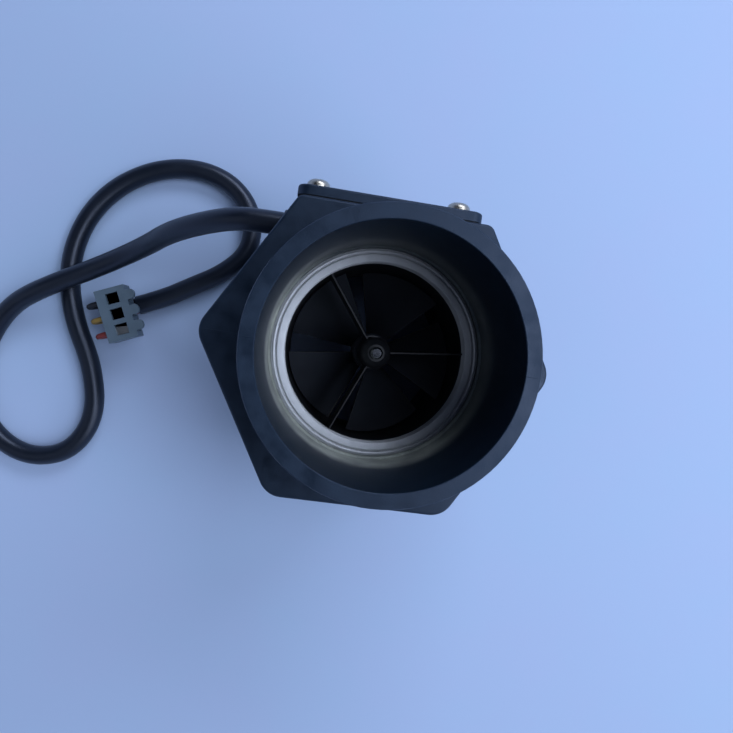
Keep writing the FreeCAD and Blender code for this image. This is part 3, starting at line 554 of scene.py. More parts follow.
# Graphite-filled bearing polymer, turned: dull and nearly black
BUSH_POLYMER = Finish("bush_polymer_turned", "#14130F", "#1D1B17", 0.5, 0.05, 1.5, 0.25, 0.006)
# Fluoropolymer sheet, punched: waxy white
WASHER_POLYMER = Finish("washer_polymer_punched", "#D9D7D0", "#E6E4DE", 0.4, 0.04, 2.0, 0.3, 0.004)
# Hard ferrite, sintered and ground: dark grey with a fine grain
MAGNET_FERRITE = Finish("magnet_ferrite_sintered", "#2C2C2F", "#3A3A3E", 0.5, 0.08, 0.8, 0.15, 0.01)
# Sheet rubber, punched: matt black
GASKET_RUBBER = Finish("gasket_rubber_punched", "#121314", "#1B1C1E", 0.75, 0.06, 2.5, 0.3, 0.02)
# Stainless steel, cold-headed: warm grey and slightly drawn
SCREW_STEEL = Finish(
    "screw_steel_cold_headed", "#A39B8C", "#C9C2B2", 0.3, 0.08, 1.2, 0.25, 0.006, metallic=1.0
)
# Glass-cloth laminate with green lacquer: glossy over a faint weave
BOARD_LAMINATE = WovenLaminate(
    "board_laminate_lacquered", "#0E3B20", "#14502C", 0.28, 0.04, 3.0, 0.3, 0.01, coat=0.4
)
# Epoxy, moulded round a chip: matt charcoal
CHIP_EPOXY = Finish("chip_epoxy_moulded", "#17181A", "#212225", 0.55, 0.06, 0.8, 0.12, 0.01)
# Soft rubber, moulded: matt black
GROMMET_RUBBER = Finish("grommet_rubber_moulded", "#101215", "#191C20", 0.62, 0.06, 2.0, 0.3, 0.02)
# Soft vinyl, extruded over the cores: black with an even, slightly oily shine
LEAD_VINYL = Finish(
    "lead_vinyl_extruded", "#0B1018", "#141B26", 0.35, 0.06, 9.0, 0.6, 0.02,
    ior=1.54, glint="#E0EAFF",
)
# Vinyl insulation, extruded: glossy and coloured
CORE_RED = Finish("core_vinyl_red", "#7A2A22", "#8E362B", 0.36, 0.05, 3.0, 0.4, 0.006)
CORE_YELLOW = Finish("core_vinyl_yellow", "#937632", "#A68943", 0.36, 0.05, 3.0, 0.4, 0.006)
CORE_BLACK = Finish("core_vinyl_black", "#15171A", "#202328", 0.36, 0.05, 3.0, 0.4, 0.006)
# Unfilled nylon, moulded: greyish, slightly waxy
PLUG_NYLON = Finish("plug_nylon_moulded", "#4F606C", "#5E707D", 0.42, 0.05, 3.0, 0.3, 0.012)
# Tinned bronze strip, stamped: pale grey metal
TERMINAL_TIN = Finish(
    "terminal_tin_stamped", "#8E8F8D", "#ABACAA", 0.34, 0.06, 0.8, 0.2, 0.004, metallic=1.0
)


# ---- Mesh helpers

# Corners nearer than this are one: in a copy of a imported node, and where a spin closes
NODE_MERGE = 0.002 * MM
SPIN_MERGE = 0.0005 * MM


def copy_of_node(node: str) -> BMesh:
    """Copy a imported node's mesh, in the sensor's frame, and merge its doubles.

    Args:
        node: The node's name.

    Returns:
        The copy.
    """
    mesh = bmesh.new()
    mesh.from_mesh(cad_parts[node].data)
    bmesh.ops.remove_doubles(mesh, verts=mesh.verts, dist=NODE_MERGE)
    return mesh


def spun(profile: Profile, steps: int, closed: bool = True) -> BMesh:
    """Spin an outline once round the Z axis.

    Args:
        profile: Radius and height of each corner, in millimetres.
        steps: How many faces go round.
        closed: Whether the outline's last corner joins its first.

    Returns:
        The closed shell, with its faces outwards.
    """
    mesh = bmesh.new()
    corners = [mesh.verts.new((radius * MM, 0, height * MM)) for radius, height in profile]
    pairs = list(zip(corners, corners[1:]))
    if closed:
        pairs.append((corners[-1], corners[0]))
    edges = [mesh.edges.new(pair) for pair in pairs]
    bmesh.ops.spin(
        mesh,
        geom=corners + edges,
        cent=(0, 0, 0),
        axis=(0, 0, 1),
        angle=math.tau,
        steps=steps,
        use_merge=True,
    )
    bmesh.ops.remove_doubles(mesh, verts=mesh.verts, dist=SPIN_MERGE)
    bmesh.ops.recalc_face_normals(mesh, faces=mesh.faces)
    return mesh


def mesh_data(mesh: BMesh, name: str) -> Mesh:
    """Turn a mesh into data for an object, and free it.

    Args:
        mesh: The mesh. It is freed.
        name: The data's name.

    Returns:
        The new data.
    """
    data = bpy.data.meshes.new(name)
    mesh.to_mesh(data)
    mesh.free()
    return data


def put_in_scene(name: str, data: ID) -> Object:
    """Put new data into the scene as an object at the origin.

    Args:
        name: The object's name.
        data: Its mesh, curve, lamp or camera data.

    Returns:
        The new object.
    """
    item = bpy.data.objects.new(name, data)
    bpy.context.scene.collection.objects.link(item)
    return item


def add_mesh(whole: BMesh, part: BMesh) -> None:
    """Add one mesh to another.

    Args:
        whole: The mesh that grows.
        part: The mesh that is added. It is freed.
    """
    spare = mesh_data(part, "spare")
    whole.from_mesh(spare)
    bpy.data.meshes.remove(spare)


def make_piece(
    mesh: BMesh,
    name: str,
    finish: Finish,
    body: Body,
    replaced: Sequence[str] = (),
    sharp_degrees: float = 28.0,
) -> Object:
    """Turn a mesh into a piece of the sensor that rides on a body.

    Args:
        mesh: The piece's shape in the sensor's frame. It is freed.
        name: The piece's name.
        finish: Its surface.
        body: The body that it rides on.
        replaced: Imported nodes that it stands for.
        sharp_degrees: Edges that turn by more than this stay sharp.

    Returns:
        The new object, at the origin.
    """
    limit = math.radians(sharp_degrees)
    for face in mesh.faces:
        face.smooth = True
    for edge in mesh.edges:
        edge.smooth = edge.calc_face_angle(0.0) <= limit
    piece = put_in_scene(name, mesh_data(mesh, name))
    return seat_piece(piece, finish, body, replaced)


def seat_piece(
    piece: Object,
    finish: Finish,
    body: Body,
    replaced: Sequence[str] = (),
) -> Object:
    """Give a new piece its surface, its body and the nodes that it stands for.

    Args:
        piece: The piece.
        finish: Its surface.
        body: The body that it rides on.
        replaced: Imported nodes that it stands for.

    Returns:
        The same piece.
    """
    piece.data.materials.append(finish.material())
    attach(piece, body.value)
    if replaced:
        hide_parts(*replaced)
    stands_for = ", ".join(replaced) or "nothing"
    LOG.info("%s rides on %s and stands for %s", piece.name, body.value, stands_for)
    return piece


def dress_node(node: str, finish: Finish) -> None:
    """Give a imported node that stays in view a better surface.

    Args:
        node: The node's name.
        finish: Its new surface.
    """
    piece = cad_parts[node]
    material = finish.material()
    if piece.material_slots:
        for slot in piece.material_slots:
            slot.material = material
    else:
        piece.data.materials.append(material)
    LOG.info("%s keeps its shape in %s", node, finish.name)


def smooth_tube(name: str, points: Sequence[Point], radius_mm: float) -> Object:
    """Draw a round tube along one smooth line.

    Args:
        name: The tube's name.
        points: The line's control points, in metres.
        radius_mm: The tube's radius.

    Returns:
        The curve object, not yet seated.
    """
    curve = bpy.data.curves.new(name, "CURVE")
    curve.dimensions = "3D"
    curve.bevel_depth = radius_mm * MM
    curve.bevel_resolution = 8
    curve.resolution_u = 16
    curve.use_fill_caps = True
    spline = curve.splines.new("NURBS")
    spline.points.add(len(points) - 1)
    for spot, (x, y, z) in zip(spline.points, points):
        spot.co = (x, y, z, 1.0)
    spline.order_u = 3
    spline.use_endpoint_u = True
    return put_in_scene(name, curve)


# ---- The sensor's sub-assemblies


@dataclass
class PipeThread:
    """The parallel pipe thread of a 2 inch end: 55 degree flanks with rounded crests and roots."""

    crest_radius: float = 29.8
    pitch: float = 2.309
    depth: float = 1.479
    rounding: float = 0.317
    flank_angle: float = 55.0
    face_radius: float = 29.55
    plain_height: float = 0.7
    fade_height: float = 0.5
    relief_radius: float = 28.3
    mouth_edge: float = 26.68
    inner_radius: float = 27.6
    steps: int = 96
    spare_ridges: int = 3
    merge: float = 0.001
    cut_merge: float = 0.0001

    def ridge(self) -> list[tuple[float, float]]:
        """Draw one pitch of the thread.

        Returns:
            The radius and the height of its points, from crest to crest.
        """
        lean = math.radians(90 - self.flank_angle / 2)
        crest = self.crest_radius - self.rounding
        root = self.crest_radius - self.depth + self.rounding
        shares = (-1.0, -0.5, 0.0, 0.5, 1.0)
        points = []
        for middle, level, outward, part in (
            (crest, 0.0, 1, shares[2:]),
            (root, self.pitch / 2, -1, shares),
            (crest, self.pitch, 1, shares[:3]),
        ):
            for share in part:
                angle = share * lean
                radius = middle + outward * self.rounding * math.cos(angle)
                points.append((radius, level + self.rounding * math.sin(angle)))
        return points

    def limits(self, from_face: float, from_relief: float) -> tuple[float, float]:
        """Find the least and the greatest radius of the sleeve at a level.

        Args:
            from_face: How far the level is from the pipe's end face, in millimetres.
            from_relief: How far it is from the thread's run-out.

        Returns:
            The radius of the plain band that the thread fades out of, and that of the bevels.
        """
        bevel = min(self.face_radius + from_face, self.relief_radius + from_relief)
        fading = max(0.0, from_face - self.plain_height) / self.fade_height
        return min(bevel, self.crest_radius) - fading * self.depth, bevel

    def sleeve(self, end: PipeEnd) -> BMesh:
        """Make a threaded sleeve with a plain band at the pipe's end face.

        Args:
            end: The pipe end that it is for.

        Returns:
            The closed sleeve.
        """
        face, relief = end.value
        low, high = sorted(end.value)
        mesh = bmesh.new()
        start = low - self.spare_ridges / 2 * self.pitch
        ridges = math.ceil((high - low) / self.pitch) + self.spare_ridges
        outline = [
            (radius, height + number * self.pitch)
            for number in range(ridges)
            for radius, height in self.ridge()[:-1]
        ]
        corners = [mesh.verts.new((r * MM, 0, (start + h) * MM)) for r, h in outline]
        edges = [mesh.edges.new(pair) for pair in zip(corners, corners[1:])]
        bmesh.ops.spin(
            mesh,
            geom=corners + edges,
            cent=(0, 0, 0),
            axis=(0, 0, 1),
            dvec=(0, 0, self.pitch * MM / self.steps),
            angle=math.tau,
            steps=self.steps,
        )
        bmesh.ops.remove_doubles(mesh, verts=mesh.verts, dist=self.merge * MM)
        for level, above in ((low, False), (high, True)):
            bmesh.ops.bisect_plane(
                mesh,
                geom=mesh.verts[:] + mesh.edges[:] + mesh.faces[:],
                dist=self.cut_merge * MM,
                plane_co=(0, 0, level * MM),
                plane_no=(0, 0, 1),
                clear_outer=above,
                clear_inner=not above,
            )
        for vert in mesh.verts:
            height = vert.co.z / MM
            radius = vert.co.xy.length / MM
            least, most = self.limits(abs(height - face), abs(height - relief))
            vert.co.xy *= min(max(radius, least), most) / radius
        rims = []
        for level, inner in ((face, self.mouth_edge), (relief, self.inner_radius)):
            rim = [
                edge
                for edge in mesh.edges
                if edge.is_boundary
                and all(abs(vert.co.z - level * MM) < self.merge * MM for vert in edge.verts)
            ]
            grown = bmesh.ops.extrude_edge_only(mesh, edges=rim)["geom"]
            for vert in (item for item in grown if isinstance(item, BMVert)):
                vert.co.xy *= inner * MM / vert.co.xy.length
            rims += [item for item in grown if isinstance(item, BMEdge) and item.is_boundary]
        bmesh.ops.bridge_loops(mesh, edges=rims)
        bmesh.ops.recalc_face_normals(mesh, faces=mesh.faces)
        return mesh


@dataclass
class Housing:
    """The moulded housing: the hexagon, the stepped bore and the two threaded ends."""

    thread: PipeThread = field(default_factory=PipeThread)
    core_radius: float = 28.25
    hexagon_low: float = 29.9
    hexagon_high: float = 66.1
    mouth_radius: float = 26.5
    mouth_break: float = 0.15
    solid_break: float = 0.5
    break_level: float = 0.51
    break_reach: float = 0.6
    sink: float = 0.01

    def shell(self) -> BMesh:
        """Copy the housing, with sharper mouths and with its ends shrunk under the thread's roots.

        Returns:
            The copy. Its end faces are sunk a little, under the sleeves' own.
        """
        shell = copy_of_node("housing")
        total = CAD_BOX[1][2] / MM
        finer = self.mouth_break / self.solid_break
        for vert in shell.verts:
            radius = vert.co.xy.length / MM
            height = vert.co.z / MM
            if radius > self.core_radius and not self.hexagon_low < height < self.hexagon_high:
                vert.co.xy *= self.core_radius / radius
            from_face = min(height, total - height)
            if from_face < self.break_level and radius < self.mouth_radius + self.break_reach:
                broken = max(0.0, radius - self.mouth_radius) * finer
                vert.co.xy *= (self.mouth_radius + broken) / radius
                from_face *= finer
                vert.co.z = (from_face if height < total / 2 else total - from_face) * MM
                height = vert.co.z / MM
            if min(height, total - height) < self.sink:
                vert.co.z += math.copysign(self.sink * MM, total / 2 - height)
        return shell

    def make(self) -> None:
        """Make the housing: the shell with a threaded sleeve on each end."""
        shell = self.shell()
        for end in PipeEnd:
            add_mesh(shell, self.thread.sleeve(end))
        make_piece(
            shell, "housing_shell", HOUSING_NYLON, Body.HOUSING, ["housing"]
        )


@dataclass
class Turbine:
    """The retaining ring, the cage and guide, and the rotor on its shaft."""

    ring_inner: float = 22.65
    ring_outer: float = 26.0
    ring_low: float = 58.0
    ring_top: float = 62.0
    ring_steps: int = 192
    # Each corner of the ring's upper side: its radius, and how far it lies below the top
    ring_corners: tuple[tuple[float, float], ...] = (
        (26.0, 0.9), (25.9, 0.72), (25.62, 0.62), (25.56, 0.42), (25.46, 0.2), (25.32, 0.1),
        (25.16, 0.1), (25.02, 0.2), (24.94, 0.42), (24.9, 0.75), (24.62, 0.75), (24.58, 0.3),
        (24.48, 0.1), (24.34, 0.02), (24.2, 0.0), (22.81, 0.0), (22.69, 0.04), (22.65, 0.16),
    )
    vane_turns: tuple[float, float, float] = (67.0, 187.0, 307.0)
    vane_level: float = 60.0
    vane_half: float = 0.4
    vane_edge_half: float = 0.16
    level_slack: float = 0.01
    side_slack: float = 0.02

    def narrow_vanes(self) -> BMesh:
        """Copy the inlet guide, and narrow its vanes towards their upper edges.

        Returns:
            The copy.
        """
        guide = copy_of_node("inlet_guide")
        step = self.vane_half - self.vane_edge_half
        for vert in guide.verts:
            if abs(vert.co.z / MM - self.vane_level) > self.level_slack:
                continue
            for turn in map(math.radians, self.vane_turns):
                along = Vector((math.cos(turn), math.sin(turn), 0))
                aside = Vector((-along.y, along.x, 0))
                off = vert.co.dot(aside) / MM
                if vert.co.dot(along) > 0 and abs(abs(off) - self.vane_half) < self.side_slack:
                    vert.co -= aside * math.copysign(step, off) * MM
        return guide

    def ring_profile(self) -> list[tuple[float, float]]:
        """Draw the ring's section: a flat land, a bevel, a narrow groove and a low outer lip.

        Returns:
            The radius and the height of its corners.
        """
        foot = [(self.ring_inner, self.ring_low), (self.ring_outer, self.ring_low)]
        return foot + [(radius, self.ring_top - drop) for radius, drop in self.ring_corners]

    def make(self) -> None:
        """Make the ring and the guide, and dress the other pieces."""
        make_piece(
            spun(self.ring_profile(), self.ring_steps),
            "retaining_ring_turned",
            RING_STEEL,
            Body.HOUSING,
            ["retaining_ring"],
        )
        make_piece(
            self.narrow_vanes(),
            "inlet_guide_moulded",
            GUIDE_ACETAL,
            Body.HOUSING,
            ["inlet_guide"],
        )
        for node, finish in {
            "turbine_cage": GUIDE_ACETAL,
            "rotor_shaft": SHAFT_STEEL,
            "rotor": ROTOR_ACETAL_PAINTED_LIGHTER,
            "rotor_magnets": MAGNET_FERRITE,
            "inlet_bush": BUSH_POLYMER,
            "outlet_bush": BUSH_POLYMER,
            "inlet_washer": WASHER_POLYMER,
            "outlet_washer": WASHER_POLYMER,
        }.items():
            dress_node(node, finish)


@dataclass
class SensorPocket:
    """The lid with its gasket and screws, and the board behind it."""

    seat: float = 38.0
    shift: float = 2.0
    screw_aside: float = 17.7393
    screw_levels: tuple[float, float] = (35.7, 60.3)
    head_radius: float = 3.0
    head_height: float = 2.2
    head_foot_inset: float = 0.12
    head_foot_height: float = 0.14
    dome_inset: float = 0.05
    dome_level: float = 0.35
    dome_power: float = 0.55
    shank_radius: float = 1.5
    shank_length: float = 8.0
    screw_steps: int = 40
    screw_turns: tuple[float, ...] = (12.0, 55.0, -20.0, 33.0)
    # Half length and width of the cross's bars, and their level from the head's top
    recess_floor: Point = (0.9075, 0.434, -1.2)
    recess_mouth: Point = (1.8975, 0.682, 0.6)
    arc_start: float = 18.92
    hole_reach: float = 2.5
    lead_end_growth: float = 0.6
    far_end_growth: float = 1.7

    def lengthened(self, node: str) -> BMesh:
        """Copy a flat piece, and carry its rounded ends further out on the hexagon's land.

        Args:
            node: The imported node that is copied.

        Returns:
            The copy. Its screw holes stay where they are.
        """
        piece = copy_of_node(node)
        for vert in piece.verts:
            aside = vert.co.x / MM - self.shift
            level = vert.co.z / MM
            from_hole = min(
                math.hypot(abs(aside) - self.screw_aside, level - hole)
                for hole in self.screw_levels
            )
            if abs(aside) > self.arc_start and from_hole > self.hole_reach:
                vert.co.x += (self.lead_end_growth if aside > 0 else -self.far_end_growth) * MM
        return piece

    def screw(self) -> BMesh:
        """Make a pan-head screw on the Z axis.

        Returns:
            The screw, its head's seat at level 0.
        """
        rim = self.head_radius - self.dome_inset
        crown = self.head_height - self.dome_level
        dome = [
            (rim * math.cos(angle) ** self.dome_power, self.dome_level + crown * math.sin(angle))
            for angle in map(math.radians, range(0, 90, 10))
        ]
        profile = [
            (0.0, -self.shank_length),
            (self.shank_radius * 0.5, -self.shank_length),
            (self.shank_radius, -self.shank_length + self.shank_radius),
            (self.shank_radius, 0.0),
            (self.head_radius - self.head_foot_inset, 0.0),
            (self.head_radius, self.head_foot_height),
            *dome,
            (0.0, self.head_height),
        ]
        return spun(profile, self.screw_steps, closed=False)

    def recess(self) -> BMesh:
        """Make the tapered cross that is cut out of a screw's head.

        Returns:
            The cross: two crossed bars that reach past the head's top.
        """
        cross = bmesh.new()
        for turn in (0, 90):
            bar = bmesh.ops.create_cube(cross, size=1)["verts"]
            for vert in bar:
                half, width, level = self.recess_floor if vert.co.z < 0 else self.recess_mouth
                vert.co.x *= 2 * half * MM
                vert.co.y *= width * MM
                vert.co.z = (self.head_height + level) * MM
            bmesh.ops.rotate(
                cross, verts=bar, cent=(0, 0, 0), matrix=Matrix.Rotation(math.radians(turn), 3, "Z")
            )
        return cross

    def cut_screw(self) -> BMesh:
        """Cut the cross out of a screw.

        Returns:
            The screw, as one mesh.
        """
        blank = put_in_scene("screw_blank", mesh_data(self.screw(), "screw_blank"))
        cross = put_in_scene("screw_cross", mesh_data(self.recess(), "screw_cross"))
        cut = blank.modifiers.new("recess", "BOOLEAN")
        cut.operation = "DIFFERENCE"
        cut.solver = "EXACT"
        cut.use_self = True
        cut.object = cross
        graph = bpy.context.evaluated_depsgraph_get()
        done = bpy.data.meshes.new_from_object(blank.evaluated_get(graph))
        mesh = bmesh.new()
        mesh.from_mesh(done)
        bpy.data.meshes.remove(done)
        for item in (blank, cross):
            data = item.data
            bpy.data.objects.remove(item)
            bpy.data.meshes.remove(data)
        return mesh

    def make(self) -> None:
        """Make the lid and its gasket, set the four screws, and dress the other pieces."""
        for node, name, finish, slot in (
            ("sensor_cover", "sensor_cover_moulded", COVER_NYLON, "cover_nylon"),
            ("cover_gasket", "cover_gasket_punched", GASKET_RUBBER, "gasket_rubber"),
        ):
            make_piece(self.lengthened(node), name, finish, Body.HOUSING, [node])
        whole = bmesh.new()
        turns = iter(self.screw_turns)
        for aside in (self.screw_aside, -self.screw_aside):
            for level in self.screw_levels:
                screw = self.cut_screw()
                place = (
                    Matrix.Translation(((self.shift + aside) * MM, -self.seat * MM, level * MM))
                    @ Matrix.Rotation(math.radians(90), 4, "X")
                    @ Matrix.Rotation(math.radians(next(turns)), 4, "Z")
                )
                bmesh.ops.transform(screw, matrix=place, verts=screw.verts)
                add_mesh(whole, screw)
        make_piece(
            whole, "cover_screws_headed", SCREW_STEEL, Body.HOUSING, ["cover_screws"]
        )
        for node, finish in {
            "board_screws": SCREW_STEEL,
            "sensor_board": BOARD_LAMINATE,
            "hall_sensor": CHIP_EPOXY,
            "board_capacitor": CHIP_EPOXY,
            "board_resistor": CHIP_EPOXY,
            "board_core_1": CORE_RED,
            "board_core_2": CORE_YELLOW,
            "board_core_3": CORE_BLACK,
        }.items():
            dress_node(node, finish)


@dataclass
class Plug:
    """The 3-way plug with its terminals and the cores that turn up into its back."""

    middle: Point = (79.5, 0.0, 6.35)
    heading: float = -156.3
    pitch: float = 5.08
    core_radius: float = 0.85
    core_spacing: float = 1.7
    lead_aside: float = 2.0
    # Each core's way in the plug's frame: along it, whether the core has fanned out, and its level
    core_route: tuple[tuple[float, bool, float], ...] = (
        (5.0, False, -3.25),
        (3.5, False, -3.25),
        (-4.35, True, -3.25),
        (-9.35, True, -3.25),
        (-9.35, True, 3.2),
        (-1.9, True, 3.2),
    )
    edge_round: float = 0.14
    flat_degrees: float = 1.0
    sharp_degrees: float = 40.0

    def place(self) -> Matrix:
        """Say where the plug lies and which way it points."""
        turn = Matrix.Rotation(math.radians(self.heading), 4, "Z")
        return Matrix.Translation(Vector(self.middle) * MM) @ turn

    def block(self) -> Object:
        """Make the plug's housing, with rounded edges.

        Returns:
            The piece.
        """
        mesh = copy_of_node("plug_housing")
        bmesh.ops.dissolve_limit(
            mesh,
            angle_limit=math.radians(self.flat_degrees),
            use_dissolve_boundaries=False,
            verts=mesh.verts,
            edges=mesh.edges,
        )
        block = make_piece(
            mesh,
            "plug_block",
            PLUG_NYLON,
            Body.HOUSING,
            ["plug_housing"],
            self.sharp_degrees,
        )
        rounding = block.modifiers.new("edges", "BEVEL")
        rounding.width = self.edge_round * MM
        rounding.segments = 2
        rounding.limit_method = "ANGLE"
        rounding.angle_limit = math.radians(self.sharp_degrees)
        return block

    def make(self) -> list[Object]:
        """Make the plug's pieces.

        Returns:
            The pieces that are on the lead.
        """
        pieces = [self.block(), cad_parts["plug_terminals"]]
        dress_node("plug_terminals", TERMINAL_TIN)
        place = self.place()
        cores = (
            (-1, CORE_RED, "core_red"),
            (0, CORE_YELLOW, "core_yellow"),
            (1, CORE_BLACK, "core_black"),
        )
        for number, (side, finish, slot) in enumerate(cores, start=1):
            near = self.lead_aside + side * self.core_spacing
            far = side * self.pitch
            points = [
                tuple(place @ (Vector((along, far if fanned else near, level)) * MM))
                for along, fanned, level in self.core_route
            ]
            core = smooth_tube(f"plug_core_{number}_drawn", points, self.core_radius)
            seat_piece(core, finish, Body.HOUSING, [f"plug_core_{number}"])
            pieces.append(core)
        return pieces


@dataclass
class Lead:
    """The black round lead, from the grommet to its stripped end under the plug."""

    radius: float = 3.1
    length_mm: float = 394.0
    exit: Point = (0.02793, -0.0304, 0.048)
    grommet_radius: float = 3.8
    grommet_start: float = 15.5
    grommet_end: float = 27.93
    grommet_play: float = 0.05
    grommet_round: float = 0.4
    grommet_steps: int = 56
    route: tuple[Point, ...] = (
        (0.016, -0.0304, 0.048),
        (0.0315, -0.0304, 0.048),
        (0.0418, -0.0301, 0.0475),
        (0.0595, -0.0262, 0.0346),
        (0.0715, -0.0219, 0.0186),
        (0.0875, -0.014, 0.0106),
        (0.104, -0.0048, 0.0106),
        (0.1145, 0.002, 0.0066),
        (0.122, 0.0135, 0.0031),
        (0.1245, 0.029, 0.0031),
        (0.119, 0.044, 0.0031),
        (0.1055, 0.052, 0.0031),
        (0.0915, 0.0485, 0.0031),
        (0.0848, 0.035, 0.0031),
        (0.088, 0.0185, 0.0031),
        (0.0958, 0.004, 0.0031),
        (0.0995, -0.0115, 0.0031),
        (0.0973, -0.027, 0.0031),
        (0.0895, -0.04, 0.0031),
        (0.077, -0.049, 0.0031),
        (0.0625, -0.0523, 0.0031),
        (0.0495, -0.0488, 0.0031),
        (0.0416, -0.039, 0.0031),
        (0.0416, -0.027, 0.0031),
        (0.0494, -0.0186, 0.0031),
        (0.059, -0.0128, 0.0031),
        (0.0675, -0.00746, 0.0031),
        (0.0757, -0.00384, 0.0031),
    )

    def grommet(self) -> BMesh:
        """Make the grommet round the lead's exit.

        Returns:
            The sleeve, with its outer end rounded.
        """
        bore = self.radius + self.grommet_play
        rim, start, end = self.grommet_radius, self.grommet_start, self.grommet_end
        edge = [
            (rim - inwards * self.grommet_round, end - back * self.grommet_round)
            for inwards, back in ((0.0, 1.0), (0.2, 0.45), (0.6, 0.1), (1.0, 0.0))
        ]
        profile = [(bore, start), (rim, start), *edge, (bore + 0.06, end), (bore, end - 0.1)]
        sleeve = spun(profile, self.grommet_steps)
        _, aside, level = self.exit
        place = Matrix.Translation((0, aside, level)) @ Matrix.Rotation(math.radians(90), 4, "Y")
        bmesh.ops.transform(sleeve, matrix=place, verts=sleeve.verts)
        return sleeve

    def make(self, pieces_on_it: Sequence[Object]) -> None:
        """Lay the lead along its route and set the grommet round its exit.

        Args:
            pieces_on_it: The plug's pieces. It is not used.
        """
        lead = smooth_tube("lead_jacket", self.route, self.radius)
        lead.data.bevel_resolution = 12
        seat_piece(lead, LEAD_VINYL, Body.HOUSING, ["lead"])
        make_piece(
            self.grommet(),
            "lead_grommet_moulded",
            GROMMET_RUBBER,
            Body.HOUSING,
            ["lead_grommet"],
        )


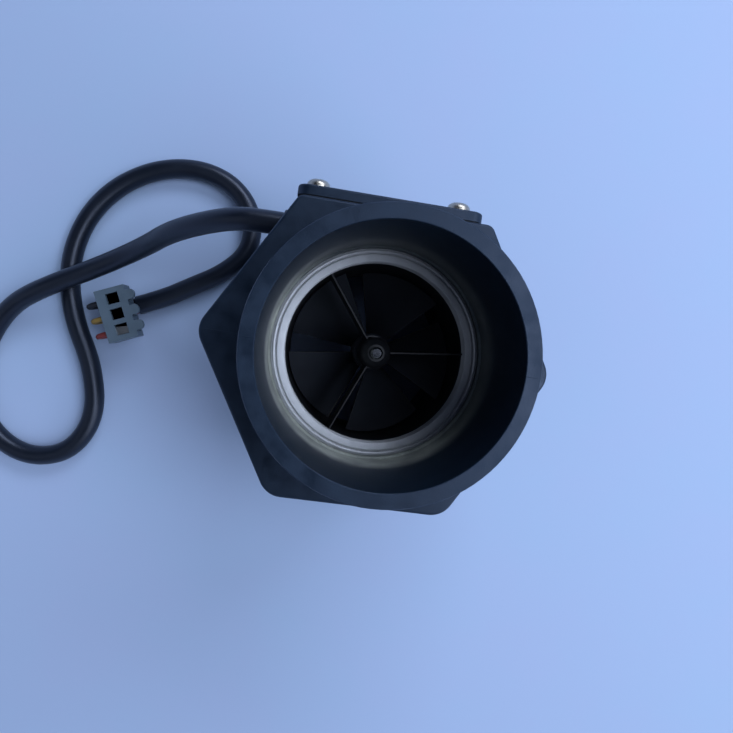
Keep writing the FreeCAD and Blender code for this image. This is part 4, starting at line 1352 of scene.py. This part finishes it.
@dataclass
class Studio:
    """The paper that the sensor stands on, the lamps, the sky and the camera."""

    camera_place: Point = (0.0150, -0.00183, 0.2091)
    camera_turns: Point = (-172.0, -2.83, -4.78)
    lens_mm: float = 29.124
    photo_turn: float = -172.0
    lamp_tone: str = "#DDE8FF"
    lamp_aim: Point = (0.0, 0.0, 0.05)
    paper_tone: str = "#AEBBDC"
    paper_second_tone: str = "#A6C2DE"
    paper_half: float = 6.0
    horizon_tone: str = "#9FB4E4"
    horizon_rise: float = 0.05
    zenith_tone: str = "#232B3C"
    zenith_rise: float = 0.6
    room_tone: str = "#AFC0E4"
    room_strength: float = 0.18
    fade_start: float = 0.3
    fade_end: float = 0.9

    def camera(self) -> None:
        """Set the camera straight above the inlet, a little to one side."""
        data = bpy.data.cameras.new("camera")
        data.sensor_width = 36.0
        data.lens = self.lens_mm
        data.clip_start = 0.005
        data.clip_end = 20.0
        camera = put_in_scene("camera", data)
        about_z, about_x, about_y = (math.radians(angle) for angle in self.camera_turns)
        camera.matrix_world = (
            Matrix.Translation(self.camera_place)
            @ Matrix.Rotation(about_z, 4, "Z")
            @ Matrix.Rotation(about_x, 4, "X")
            @ Matrix.Rotation(about_y, 4, "Y")
        )
        bpy.context.scene.camera = camera

    def lamp(
        self,
        name: str,
        bearing: float,
        height: float,
        reach: float,
        size: tuple[float, float],
        power: float,
    ) -> None:
        """Hang one soft lamp that faces the sensor.

        Args:
            name: Its name.
            bearing: Its direction in the picture, in degrees counter-clockwise from the right.
            height: Its angle above the floor, in degrees.
            reach: Its distance from the sensor, in metres.
            size: Its width and its height, in metres.
            power: Its power, in watts.
        """
        data = bpy.data.lights.new(name, "AREA")
        data.shape = "RECTANGLE"
        data.size, data.size_y = size
        data.energy = power
        data.color = linear(self.lamp_tone)[:3]
        lamp = put_in_scene(name, data)
        turn = math.radians(bearing + self.photo_turn)
        rise = math.radians(height)
        out = Vector(
            (math.cos(turn) * math.cos(rise), math.sin(turn) * math.cos(rise), math.sin(rise))
        )
        lamp.location = Vector(self.lamp_aim) + out * reach
        lamp.rotation_mode = "QUATERNION"
        lamp.rotation_quaternion = out.to_track_quat("Z", "Y")

    def seen_rays(self, tree: NodeTree) -> NodeSocket:
        """Tell the rays that show the background: straight ones, and those in gloss and glass.

        Args:
            tree: The node tree that gets the nodes.

        Returns:
            The output that is 1 for such a ray and 0 for any other.
        """
        path = add_node(tree, "LightPath")
        seen = path.outputs["Is Camera Ray"]
        for kind in ("Is Glossy Ray", "Is Transmission Ray"):
            both = {0: seen, 1: path.outputs[kind]}
            seen = add_node(tree, "Math", both, operation="MAXIMUM").outputs["Value"]
        return seen

    def sky(self) -> None:
        """Light the room dimly; the eye and gloss see a pale horizon under a dark ceiling."""
        world = bpy.data.worlds.new("room")
        world.use_nodes = True
        bpy.context.scene.world = world
        tree = world.node_tree
        tree.nodes.clear()
        direction = add_node(tree, "TexCoord").outputs["Generated"]
        axes = add_node(tree, "SeparateXYZ", {"Vector": direction})
        rise = add_node(
            tree,
            "MapRange",
            {
                "Value": axes.outputs["Z"],
                "From Min": self.horizon_rise,
                "From Max": self.zenith_rise,
            },
        )
        tones = add_node(
            tree,
            "Mix",
            {0: rise.outputs["Result"], 6: linear(self.horizon_tone), 7: linear(self.zenith_tone)},
            data_type="RGBA",
        )
        room = add_node(
            tree, "Background", {"Color": linear(self.room_tone), "Strength": self.room_strength}
        )
        seen = add_node(tree, "Background", {"Color": tones.outputs[2], "Strength": 1.0})
        mix = add_node(
            tree, "MixShader", {0: self.seen_rays(tree), 1: room.outputs[0], 2: seen.outputs[0]}
        )
        add_node(tree, "OutputWorld", {"Surface": mix.outputs[0]})

    def paper(self) -> None:
        """Lay the paper on the floor; far from the sensor it fades to the horizon's tone."""
        mesh = bmesh.new()
        bmesh.ops.create_grid(mesh, x_segments=8, y_segments=8, size=self.paper_half)
        floor = put_in_scene("paper", mesh_data(mesh, "paper"))
        # Drawing paper, calendered: matt, with a faint tooth and a slow mottle of lavender and blue
        # tones
        finish = Finish(
            "paper_calendered", self.paper_tone, self.paper_second_tone, 0.9, 0.03, 70.0, 0.6, 0.01
        )
        material = finish.material()
        tree = material.node_tree
        place = add_node(tree, "TexCoord").outputs["Object"]
        away = add_node(tree, "VectorMath", {0: place}, operation="LENGTH")
        far = add_node(
            tree,
            "MapRange",
            {
                "Value": away.outputs["Value"],
                "From Min": self.fade_start,
                "From Max": self.fade_end,
            },
            interpolation_type="SMOOTHSTEP",
        )
        share = add_node(
            tree, "Math", {0: far.outputs["Result"], 1: self.seen_rays(tree)}, operation="MULTIPLY"
        )
        tone = add_node(tree, "Emission", {"Color": linear(self.horizon_tone), "Strength": 1.0})
        surface = add_node(
            tree,
            "MixShader",
            {
                0: share.outputs["Value"],
                1: tree.nodes["Principled BSDF"].outputs[0],
                2: tone.outputs[0],
            },
        )
        tree.links.new(surface.outputs[0], tree.nodes["Material Output"].inputs["Surface"])
        floor.data.materials.append(material)

    def make(self) -> None:
        """Set up the picture's view and light."""
        self.camera()
        self.lamp("window_low", -26, 43, 0.8, (0.8, 0.65), 4.0)
        self.lamp("window_high", 5, 63, 0.8, (0.45, 0.5), 2.6)
        self.lamp("room_top", 60, 37, 0.85, (0.7, 0.3), 4.1)
        self.lamp("room_left", 194, 46, 1.3, (1.0, 1.0), 1.1)
        self.lamp("room_bottom", 265, 40, 1.3, (1.0, 1.0), 0.8)
        self.sky()
        self.paper()
        bpy.context.scene.view_settings.view_transform = "Standard"


def main() -> None:
    """Build the sensor's looks in order, from the camera inwards."""
    logging.basicConfig(level=logging.INFO, format="%(name)s: %(message)s")
    Studio().make()
    plug_pieces = Plug().make()
    Lead().make(plug_pieces)
    Housing().make()
    Turbine().make()
    SensorPocket().make()
    LOG.info("camera, lamps, paper and every piece are in place")


if __name__ == "__main__":
    main()
